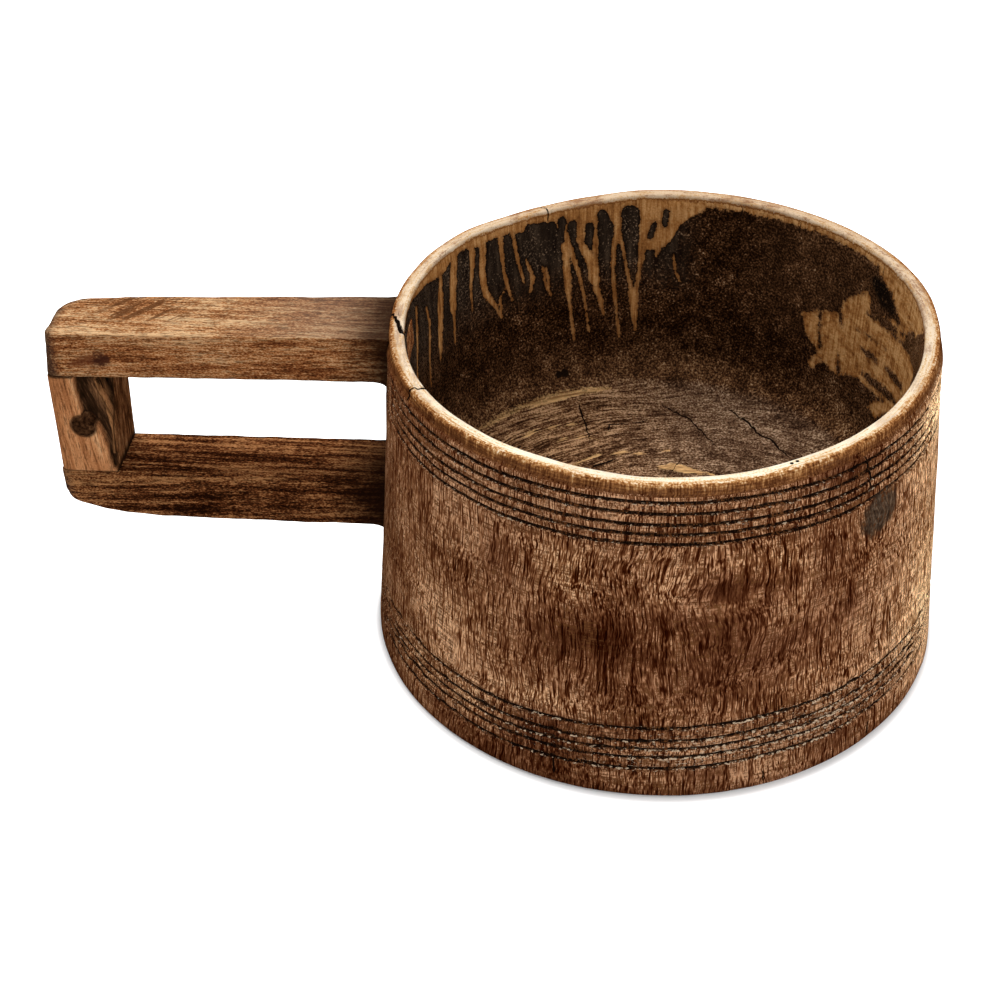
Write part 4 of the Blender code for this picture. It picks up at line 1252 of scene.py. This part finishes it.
def shapeArm(which):
    arm = arms[which]
    low, high = (np.array(corner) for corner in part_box(arm["node"]))
    low[1], high[1] = -arm["width"] / 2, arm["width"] / 2
    low[0] -= arm["reach"]
    low[2] -= arm["drop"]
    high[2] += arm["lift"]
    high[0] = -outsideRadius(low[2])
    piece = block(arm["node"] + "_wood", low, high, arms["cuts"])
    points = wearBlock(readPoints(piece), low, high, arm["edge"], arm["seed"], arm["endRound"])
    if which == "lower":
        points = roundCorner(points, 0, 2, low[0], low[2], arms["heelRound"], -1, -1)
    under = (high[2] - points[:, 2]) / (high[2] - low[2])    # 0 at the top, 1 at the underside
    if which == "lower":
        points[:, 2] += follow(arms["heelWear"], (points[:, 0] - low[0]) / mm) * mm * under
    points = roundOuterEnd(points, low, high)
    run = (points[:, 0] - low[0]) / (high[0] - low[0])
    widen = arm["backOuter"] * (1 - run) + arm["backInner"] * run
    points[:, 1] += widen * np.clip(points[:, 1] / high[1], 0, 1)
    if which == "upper":
        points[:, 0] -= arms["endLean"] * (under - 0.4) * np.exp(-(points[:, 0] - low[0]) / (20 * mm))
    points += arms["dents"] * shake(points, 15 * mm, arm["seed"] + 3, (0.35, 1, 1))
    points += arms["smallDents"] * shake(points, 3 * mm, arm["seed"] + 6, (0.4, 1, 1))
    gap = meetBowl(points, low[0], high[0], arms["sink"])
    near = np.exp(-np.clip(gap, 0, None) / (1.6 * mm))
    middle = (low[2] + high[2]) / 2
    offMiddle = np.abs(points[:, 2] - middle) > 0.3 * (high[2] - low[2])
    points[:, 2] += np.where(points[:, 2] < middle, -arms["fillet"], arms["topFlare"]) * near * offMiddle
    atSide = np.abs(points[:, 1]) > 0.8 * high[1]
    points[:, 1] += np.sign(points[:, 1]) * arms["sideFlare"] * near * atSide
    writePoints(piece, points)

    # maps: distance from the bowl and from the outer end, the edges, for painted shade, the front top edge,
    # worn and with a painted highlight, the spot
    x, y, z = points.T / mm
    bend = arms["backRound"] / mm
    bendX, bendY = low[0] / mm + bend, high[1] / mm - bend
    inBend = (x < bendX) & (y > bendY)
    gaps = np.sort(np.minimum(points - low, high - points), axis=1)
    keepMaps(piece, fromBowl=gap / mm,
             fromEnd=np.where(inBend, bend - np.hypot(x - bendX, y - bendY), x - low[0] / mm),
             topFace=ease(0.5, 0.9, readNormals(piece)[:, 2]),
             wornEdge=np.exp(-np.hypot(y - low[1] / mm, z - high[2] / mm) / 1.5),
             edge=np.exp(-np.clip(gaps[:, 1], 0, None) / (0.9 * mm)))
    if which == "upper":
        front = ease(-11, -13.5, y)
        middle, half = arms["slantedAt"]
        keepMaps(piece, spot=front * ease(1.5, -1.5, strokeDistance(x, z, arms["spot"])),
                 smear=front * ease(2.0, -2.0, strokeDistance(x, z, arms["smear"])),
                 slanted=np.exp(-((x - middle) / half) ** 4) * ease(124.0, 126.0, z) * ease(-8, -1, y))
    return piece, low, high


upperArm, upperLow, _ = shapeArm("upper")
lowerArm, _, lowerHigh = shapeArm("lower")

tenon = {
    "width": 16.0 * mm,
    "thick": 10.5 * mm,
    "height": 117.65 * mm,
    "proud": 0.5 * mm,
    "inWall": 8.0 * mm,
    "cuts": (8, 24, 18),
    "plainWood": (60.0, 90.0),    # it looks like the arm this far in mm from the bowl and the outer end
}


def addTenon(arm):
    # the end of the arm's through tenon shows inside the bowl, flush with the wall but for a hair
    wall = insideRadius(tenon["height"])
    inner = tenon["proud"] - wall
    low = np.array((inner - tenon["inWall"], -tenon["width"] / 2, tenon["height"] - tenon["thick"] / 2))
    high = np.array((inner, tenon["width"] / 2, tenon["height"] + tenon["thick"] / 2))
    end = block("tenon_end", low, high, tenon["cuts"])
    points = wearBlock(readPoints(end), low, high, 0.4 * mm, 58)
    bow = wall - np.sqrt(insideRadius(points[:, 2]) ** 2 - points[:, 1] ** 2)
    points[:, 0] += bow + 0.10 * mm * lumps(points, 3 * mm, 59)
    writePoints(end, points)
    fromBowl, fromEnd = tenon["plainWood"]
    keepMaps(end, fromBowl=np.full(len(points), fromBowl), fromEnd=np.full(len(points), fromEnd))
    makeActive(arm)
    end.select_set(True)
    bpy.ops.object.join()


addTenon(upperArm)
print("arms shaped")

post = {
    "node": "handle_end_post",
    "outer": 1.5 * mm,    # how far it stands out past the upper arm
    "depth": 22.4 * mm,
    "outerLean": 1.9 * mm,
    "innerLean": 2.0 * mm,
    "topWidth": 28.4 * mm,
    "footWidth": 25.8 * mm,
    "gap": 0.05 * mm,
    "edge": 0.8 * mm,
    "dents": 0.22 * mm,
    "cuts": (44, 56, 80),
    # the split in the front inner edge, in mm: (height, x of its outer edge, depth at the inner face)
    "split": ((67.0, -204.4, 2.0), (70.0, -205.2, 3.4), (81.0, -205.8, 5.0), (87.0, -207.4, 6.2),
              (91.5, -212.6, 7.0), (102.0, -213.2, 10.0), (109.0, -213.0, 10.5)),
    "splitStep": 3.6,
    # the splinter that still stands in it: (x, z) and width
    "splinter": ((-206.4, 104.0, 1.4), (-204.2, 93.0, 1.6), (-202.6, 84.0, 1.4), (-203.4, 74.0, 0.8)),
    "pocketAt": (-203.4, 1.3),    # a deeper hollow at its top: x and half width
    "pegRing": 4.5,
}


def shapePost():
    bottom, top = lowerHigh[2] + post["gap"], upperLow[2] - post["gap"]
    low = np.array((upperLow[0] - post["outer"], -post["topWidth"] / 2, bottom))
    high = np.array((low[0] + post["depth"], post["topWidth"] / 2, top))
    piece = block(post["node"] + "_wood", low, high, post["cuts"])
    points = wearBlock(readPoints(piece), low, high, post["edge"], 71)
    points = roundOuterEnd(points, low, high)
    fall = (top - points[:, 2]) / (top - bottom)
    across = (points[:, 0] - low[0]) / post["depth"]
    points[:, 0] -= (post["outerLean"] * (1 - across) + post["innerLean"] * across) * fall
    narrow = 1 - (1 - post["footWidth"] / post["topWidth"]) * fall
    points[:, 1] *= narrow
    points += post["dents"] * shake(points, 12 * mm, 73, (1, 1, 0.4))

    # the front inner edge has split away along the grain, deepest at the top
    x, z = points[:, 0] / mm, points[:, 2] / mm
    heights, edges, depths = zip(*post["split"])
    splitEdge = np.interp(z, heights, edges) + 0.5 * lumps(points * (1, 1, 0.3), 3 * mm, 77)
    innerFace = (high[0] - post["innerLean"] * fall) / mm
    inward = np.clip((x - splitEdge) / (innerFace - splitEdge), 0, 1)
    step = post["splitStep"] * np.clip((z - 64) / 26, 0.3, 1)
    ribs = lumps(np.stack((x + z * 0.18, z * 0.05, x * 0), 1), 1.8, 78)
    ribs += 0.4 * lumps(points * (1, 1, 0.25), 1.4 * mm, 79)
    splinter = ease(0.9, -0.5, strokeDistance(x, z, post["splinter"]))
    middle, half = post["pocketAt"]
    pocket = ease(90, 99, z) * np.exp(-((x - middle) / half) ** 2)
    deep = step + (np.interp(z, heights, depths) - step) * inward + ribs * 0.9 - 2.2 * splinter + 2.5 * pocket
    share = ease(-0.15, 0.30, x - splitEdge) * ease(66.0, 68.0, z)
    face = -post["topWidth"] / 2 * narrow
    bottomOfSplit = face + np.maximum(deep, 0.3) * mm
    pushed = points[:, 1] + (bottomOfSplit - points[:, 1]) * share
    points[:, 1] = np.where(points[:, 1] < bottomOfSplit, pushed, points[:, 1])
    writePoints(piece, points)

    pegLow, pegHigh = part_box("post_peg")
    fromPeg = np.hypot(x - (pegLow.x + pegHigh.x) / 2 / mm, z - (pegLow.z + pegHigh.z) / 2 / mm)
    onSides = np.abs(points[:, 1]) > 0.5 * np.abs(face)
    onInner = ease(0.9, 0.2, innerFace - x)
    torn = np.where(points[:, 1] < bottomOfSplit + 0.6 * mm, share, 0) * (1 - onInner)
    fromFoot, fromTop = (points[:, 2] - bottom) / mm, (top - points[:, 2]) / mm
    keepMaps(piece, torn=torn, splinter=splinter * torn, innerFace=onInner,
             innerEdge=4 * onInner * (1 - onInner) * (points[:, 1] < face + 16 * mm),
             innerFoot=onInner * ease(5.0, 1.2, fromFoot),
             pegRing=np.where(onSides, ease(1.1, 0.3, np.abs(fromPeg - post["pegRing"])), 0),
             jointLine=np.maximum(ease(1.0, 0.2, fromFoot), ease(1.0, 0.2, fromTop)))
    return piece


postPiece = shapePost()
print("post shaped")

pegs = {
    "post_peg": {"radius": 4.5 * mm, "rough": 0.5 * mm, "seed": 81},
    "upper_arm_peg": {"radius": 2.5 * mm, "rough": 0.2 * mm, "seed": 84},
    "lower_arm_peg": {"radius": 2.5 * mm, "rough": 0.2 * mm, "seed": 87},
}
pegEndRings = (0, 0.25, 0.5, 0.7, 0.86)    # shares of the radius
pegRows = (0.3, 0.5, 0.7)                  # shares of the length


def shapePeg(name):
    # a turned pin with worn, rough ends, laid along Y
    peg = pegs[name]
    low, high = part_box(name)
    middle, length = (low + high) / 2, high.y - low.y
    radius, worn = peg["radius"], peg["radius"] * 0.16
    outline = [(radius * share, low.y) for share in pegEndRings]
    outline += [(radius - worn * 0.3, low.y + worn * 0.3), (radius, low.y + worn)]
    outline += [(radius, low.y + length * share) for share in pegRows]
    outline += [(radius, high.y - worn), (radius - worn * 0.3, high.y - worn * 0.3)]
    outline += [(radius * share, high.y) for share in reversed(pegEndRings)]
    piece = spinProfile(name + "_wood", outline, 48)
    points = readPoints(piece)
    fromMiddle = points[:, 2] - middle.y
    ends = ease(0.6, 1.0, np.abs(fromMiddle) / (length / 2))
    wobble = lumps(points * (1, 1, 0.2), radius * 0.45, peg["seed"])
    points[:, 0:2] *= (1 + 0.05 * wobble * ends)[:, None]
    rough = lumps(points, radius * 0.3, peg["seed"] + 1) + 0.5 * lumps(points, radius * 0.14, peg["seed"] + 2)
    points[:, 2] += ends * rough * peg["rough"] * np.sign(fromMiddle)
    writePoints(piece, np.stack((middle.x + points[:, 0], points[:, 2], middle.z - points[:, 1]), 1))
    makeActive(piece)
    bpy.ops.object.mode_set(mode="EDIT")
    faceOutwards()
    return piece


pegPieces = {name: shapePeg(name) for name in pegs}

wedge = {
    "node": "upper_tenon_wedge",
    "proud": 0.7 * mm,    # how far its driven end stands out past its solid inside the bowl
    "edge": 0.3 * mm,
    "thinEnd": 0.45,      # its thin end, as a share of the thick one
    "dents": 0.12 * mm,
    "cuts": (10, 24, 6),
}


def shapeWedge():
    low, high = (np.array(corner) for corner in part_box(wedge["node"]))
    high[0] += wedge["proud"]
    piece = block(wedge["node"] + "_wood", low, high, wedge["cuts"])
    points = wearBlock(readPoints(piece), low, high, wedge["edge"], 91)
    thin = (high[0] - points[:, 0]) / (high[0] - low[0])
    middle = (low[2] + high[2]) / 2
    points[:, 2] = middle + (points[:, 2] - middle) * (1 - (1 - wedge["thinEnd"]) * thin)
    points += wedge["dents"] * shake(points, 2.5 * mm, 92)
    writePoints(piece, points)
    return piece


wedgePiece = shapeWedge()
print("pegs and wedge shaped")

upperLook = {
    "stops": ((0.20, (0.095, 0.024, 0.007)), (0.42, (0.260, 0.086, 0.027)), (0.58, (0.430, 0.172, 0.060)),
              (0.86, (0.680, 0.390, 0.190))),
    "level": 0.525, "dashes": 0.7, "grit": 1.4, "streaks": 0.8, "pores": 0.60, "seed": 3,
    "topTint": (0.84, 0.96, 1.06), "topLift": 0.03, "edgeLift": 0.22, "endLift": -0.04,
    "endGrey": 0.75, "greyTop": 0.5, "nearBowl": 24.0,
    "spotted": True,
}
lowerLook = {
    "stops": ((0.18, (0.012, 0.003, 0.001)), (0.42, (0.068, 0.019, 0.006)), (0.60, (0.190, 0.062, 0.020)),
              (0.86, (0.460, 0.210, 0.080))),
    "level": 0.505, "dashes": 0.8, "grit": 1.5, "streaks": 1.7, "pores": 0.62, "seed": 8,
    "topTint": (1, 1, 1), "topLift": 0.03, "edgeLift": 0.10, "endLift": 0.12,
    "endGrey": 0.5, "greyTop": 0.0, "nearBowl": 30.0,
    "spotted": False,
}
armColours = {
    "pores": (0.020, 0.007, 0.003),
    "slanted": (0.096, 0.036, 0.013),
    "smear": (0.120, 0.034, 0.014),
    "spot": (0.036, 0.011, 0.007),
    "wornShadedEnd": (0.050, 0.030, 0.022),
    "edge": (0.022, 0.009, 0.004),
    "greyTop": (0.170, 0.110, 0.078),
    "shadeNearBowl": (0.012, 0.004, 0.002),
}


def armWood(name, look):
    # wood with its grain along X
    m = Mixer(name)
    place = m.place()
    shift = tuple(look["seed"] * share for share in (0.37, 0.71, 0.13))
    dashes = m.fibres(m.warp(place, 90, 3 * mm), (360, 1450, 1650), 2, 0.55, shift=shift)
    grit = m.fibres(place, (1100, 2200, 2200), 2, 0.55, shift=shift)
    pores = m.span(m.fibres(place, (230, 2500, 2500), 2, 0.55, shift=shift), 0.50, 0.63)
    fibres = m.fibres(place, (30, 760, 760), 4, 0.65, turn=(0, 0.02, 0.05), shift=shift)
    streaks = m.fibres(place, (10, 230, 270), 3, 0.6, 0.5, turn=(0, 0.03, 0.04), shift=shift)
    drift = m.fibres(place, (34, 70, 70), 3, 0.55, shift=shift)
    speckle = m.clouds(place, 1300, 3, 0.65)
    fromEnd, top, wornEdge = m.value("fromEnd"), m.value("topFace"), m.value("wornEdge")
    endShare = m.span(m.fray(fromEnd, (drift, 22.0)), 30.0, 8.0)
    tone = m.weigh(look["level"], (dashes, look["dashes"]), (grit, look["grit"]), (fibres, 1.1),
                   (streaks, look["streaks"]), (drift, 0.9))
    tone = m.lift(tone, m.times(endShare, m.weigh(0.0, (speckle, 1.0))), 0.8)
    # lifts the top, the end and the front top edge; on that edge the lift is wear and a painted highlight
    for share, weight in ((top, "topLift"), (endShare, "endLift"), (wornEdge, "edgeLift")):
        tone = m.lift(tone, share, look[weight])
    wood = m.ramp(tone, look["stops"])
    wood = m.stain(wood, m.mix(1.0, wood, look["topTint"], "MULTIPLY"), top, 0.8)
    wood = m.stain(wood, armColours["pores"], pores, look["pores"])
    if look["spotted"]:
        # slanting dark lines on top near the end, a dark spot with a red-brown smear on the front
        lines = m.fibres(place, (50, 640, 200), 2, 0.5, 0.2, turn=(0, 0, -0.86))
        wood = m.stain(wood, armColours["slanted"], m.value("slanted"), m.span(lines, 0.50, 0.58), 0.85)
        patches = m.clouds(place, 420, 3, 0.6)
        for mark, strength in (("smear", 0.7), ("spot", 0.85)):
            ragged = m.fray(m.value(mark), (speckle, 1.3), (patches, 1.4))
            wood = m.stain(wood, armColours[mark], m.span(ragged, 0.1, 1.1), strength)
    # grey worn end, with painted shade where it rounds away, painted shade as a dark line along the edges and
    # near the bowl
    endBand = m.span(m.fray(fromEnd, (speckle, 4.0), (drift, 5.0)), 6.0, 1.5)
    # the end band is greyer end grain and painted shade where the end rounds away
    wood = m.stain(wood, armColours["wornShadedEnd"], endBand, look["endGrey"])
    # painted shade: a dark line along the edges, but not on the top or its front edge
    wood = m.stain(wood, armColours["edge"], m.value("edge"), m.rest(top), m.rest(wornEdge), 0.6)
    gap = m.fray(m.value("fromBowl"), (drift, 16.0), (fibres, 14.0))
    wood = m.stain(wood, armColours["greyTop"], m.span(gap, 75.0, 15.0), top, look["greyTop"])
    # painted shade: darker near the bowl, where the arm meets it
    wood = m.stain(wood, armColours["shadeNearBowl"], m.span(gap, look["nearBowl"], 0.0), 0.9)
    height = m.weigh(0.0, (pores, -0.5), (fibres, 0.9), (dashes, 1.0), (m.times(endShare, speckle), 0.7))
    return m.finish(wood, m.span(fibres, 0.3, 0.7, 0.50, 0.70), height, 0.6, 0.35 * mm)


finishPiece(upperArm, "handle_upper_arm", armWood("upper_arm_wood", upperLook))
finishPiece(lowerArm, "handle_lower_arm", armWood("lower_arm_wood", lowerLook))

postColours = {
    "wood": ((0.20, (0.165, 0.054, 0.019)), (0.44, (0.450, 0.176, 0.066)), (0.60, (0.640, 0.285, 0.118)),
             (0.86, (0.830, 0.480, 0.240))),
    "worn": ((0.18, (0.030, 0.010, 0.003)), (0.44, (0.170, 0.066, 0.023)), (0.64, (0.380, 0.175, 0.070)),
             (0.88, (0.560, 0.330, 0.165))),
    "torn": ((0.36, (0.006, 0.003, 0.001)), (0.50, (0.040, 0.018, 0.008)), (0.60, (0.140, 0.064, 0.028)),
             (0.72, (0.360, 0.170, 0.072))),
    "splinter": (0.440, 0.200, 0.078),
    "pores": (0.030, 0.011, 0.005),
    "innerEdge": (0.006, 0.003, 0.001),
    "joints": (0.018, 0.008, 0.004),
}


def postWood():
    # grain along Z, a dark torn split with one splinter, a brown worn inner face
    m = Mixer("post_wood")
    place = m.place()
    torn = m.value("torn")
    pores = m.span(m.fibres(place, (2500, 2500, 240), 2, 0.55), 0.52, 0.64)
    fibres = m.fibres(place, (760, 760, 34), 4, 0.65, turn=(0, 0.08, 0))
    streaks = m.fibres(place, (260, 260, 14), 3, 0.55, turn=(0, 0.10, 0))
    slivers = m.fibres(place, (520, 520, 36), 4, 0.65, turn=(0, 0.30, 0))
    speckle = m.clouds(place, 1300, 3, 0.65)
    wood = m.ramp(m.weigh(0.50, (fibres, 0.8), (streaks, 0.8), (speckle, 0.35)), postColours["wood"])
    worn = m.ramp(m.weigh(0.48, (fibres, 1.6), (streaks, 1.2), (speckle, 0.4)), postColours["worn"])
    wood = m.stain(wood, worn, m.value("innerFace"), 0.95)
    wood = m.mix(torn, wood, m.ramp(slivers, postColours["torn"]))
    wood = m.stain(wood, postColours["splinter"], m.value("splinter"), m.span(slivers, 0.36, 0.56), 0.9)
    wood = m.stain(wood, postColours["pores"], pores, 0.55)
    # the inner face goes black along its front edge, a crack line, and at its foot as painted shade where the
    # post meets the lower arm
    inner = m.maths("MAXIMUM", m.value("innerEdge"), m.value("innerFoot"))
    wood = m.stain(wood, postColours["innerEdge"], inner, 0.9)
    joints = m.maths("MAXIMUM", m.value("pegRing"), m.value("jointLine"))
    wood = m.stain(wood, postColours["joints"], joints, 0.85)
    height = m.weigh(0.0, (pores, -0.7), (fibres, 0.8), (m.times(torn, slivers), 2.0))
    return m.finish(wood, m.span(fibres, 0.3, 0.7, 0.50, 0.70), height, 0.6, 0.35 * mm)


finishPiece(postPiece, "handle_end_post", postWood())

pegStops = ((0.38, (0.014, 0.005, 0.002)), (0.56, (0.070, 0.029, 0.012)), (0.76, (0.220, 0.110, 0.050)))
wedgeStops = ((0.38, (0.014, 0.006, 0.003)), (0.56, (0.060, 0.026, 0.013)), (0.76, (0.150, 0.075, 0.036)))


def pegWood(name, stops):
    # end grain: small pits and a few pale flecks
    m = Mixer(name)
    pits = m.fibres(m.place(), (520, 260, 520), 4, 0.65)
    return m.finish(m.ramp(pits, stops), m.span(pits, 0.3, 0.7, 0.80, 0.55), pits, 0.7, 0.4 * mm)


darkPeg = pegWood("peg_wood", pegStops)
for name, piece in pegPieces.items():
    finishPiece(piece, name, darkPeg)
finishPiece(wedgePiece, "upper_tenon_wedge", pegWood("wedge_wood", wedgeStops))
print("handle finished")


# camera at the viewing angle of the photo, for a square image
view = {
    "place": Vector((-12.0, -525.1, 437.0)) * mm,
    "right": Vector((0.997107, 0.072081, -0.024121)),
    "up": Vector((-0.023526, 0.594426, 0.803806)),
    "lens": 61.2,
    "sensor": 36.0,
    "clip": (0.01, 20),
}
bpy.ops.object.camera_add(location=view["place"])
camera = bpy.context.active_object
back = view["right"].cross(view["up"])
turned = Matrix((view["right"], view["up"], back)).transposed().to_4x4()
camera.matrix_world = Matrix.Translation(view["place"]) @ turned
camera.data.sensor_width = view["sensor"]
camera.data.lens = view["lens"]
camera.data.clip_start, camera.data.clip_end = view["clip"]
bpy.context.scene.camera = camera

# floor that stays white to the camera but keeps the shadow, and soft light
stage = {
    "floorSize": 6.0,
    "floorDrop": 0.2 * mm,
    "seenGrey": 0.92,
    "bounceGrey": 0.5,
    "floorRough": 0.95,
    "worldLight": 0.40,
    # the paper's glow is low under the bowl's foot, which paints a shadow there over the real one, and full
    # away from it
    "glowNear": 0.06,
    "glowFar": 0.92,
    "nearRadius": 107.0 * mm,
    "farRadius": 111.5 * mm,
    "shift": (0, 1.2 * mm, 0),
}
seenRays = ("Is Glossy Ray", "Is Transmission Ray")    # and the camera's own
clearSelection()
bpy.ops.mesh.primitive_plane_add(size=stage["floorSize"], location=(0, 0, -stage["floorDrop"]))
floor = takeNew("studio_floor")
paper = Mixer("paper_floor")
rays = paper.node("ShaderNodeLightPath", {}).outputs
seen = rays["Is Camera Ray"]
for ray in seenRays:
    seen = paper.maths("MAXIMUM", seen, rays[ray])
shifted = paper.stretch(paper.place(), (1, 1, 1), shift=stage["shift"])
fromAxis = paper.vectors("LENGTH", shifted, (0, 0, 0), "Value")
glow = paper.span(fromAxis, stage["nearRadius"], stage["farRadius"], stage["glowNear"], stage["glowFar"])
paperLook = {
    "Base Color": paper.mix(seen, (stage["bounceGrey"],) * 3, (stage["seenGrey"],) * 3),
    "Emission Color": (1, 1, 1),
    "Emission Strength": paper.times(seen, glow),
    "Roughness": stage["floorRough"],
    "Specular IOR Level": 0.0,
}
for socket, value in paperLook.items():
    paper.put(paper.shader.inputs[socket], value)
floor.data.materials.append(paper.material)

world = bpy.data.worlds.new("studio")
bpy.context.scene.world = world
world.use_nodes = True
worldTree = world.node_tree
worldTree.nodes.clear()
worldRays = worldTree.nodes.new("ShaderNodeLightPath").outputs
worldSeen = worldRays["Is Camera Ray"]
for ray in seenRays:
    either = worldTree.nodes.new("ShaderNodeMath")
    either.operation = "MAXIMUM"
    worldTree.links.new(worldSeen, either.inputs[0])
    worldTree.links.new(worldRays[ray], either.inputs[1])
    worldSeen = either.outputs[0]
worldMix = worldTree.nodes.new("ShaderNodeMapRange")
worldMix.inputs["To Min"].default_value = stage["worldLight"]
worldMix.inputs["To Max"].default_value = 1.0
worldGlow = worldTree.nodes.new("ShaderNodeBackground")
worldGlow.inputs["Color"].default_value = (1, 1, 1, 1)
worldOut = worldTree.nodes.new("ShaderNodeOutputWorld")
worldTree.links.new(worldSeen, worldMix.inputs["Value"])
worldTree.links.new(worldMix.outputs["Result"], worldGlow.inputs["Strength"])
worldTree.links.new(worldGlow.outputs[0], worldOut.inputs["Surface"])

lamps = {
    "overhead": {"place": (-0.3, 0.40, 1.25), "aim": (0, 0, 0.08), "size": 1.0, "power": 17},
    "front": {"place": (0.1, -1.1, 0.8), "aim": (0, 0, 0.06), "size": 0.8, "power": 5},
    "right": {"place": (1.1, -0.3, 0.6), "aim": (0, 0, 0.06), "size": 0.6, "power": 4},
}
for name, lamp in lamps.items():
    bpy.ops.object.light_add(type="AREA", location=lamp["place"])
    light = bpy.context.active_object
    light.name = name
    light.data.size = lamp["size"]
    light.data.energy = lamp["power"]
    light.rotation_euler = (Vector(lamp["aim"]) - Vector(lamp["place"])).to_track_quat("-Z", "Y").to_euler()
bpy.context.scene.view_settings.view_transform = "Standard"
print("stage set")
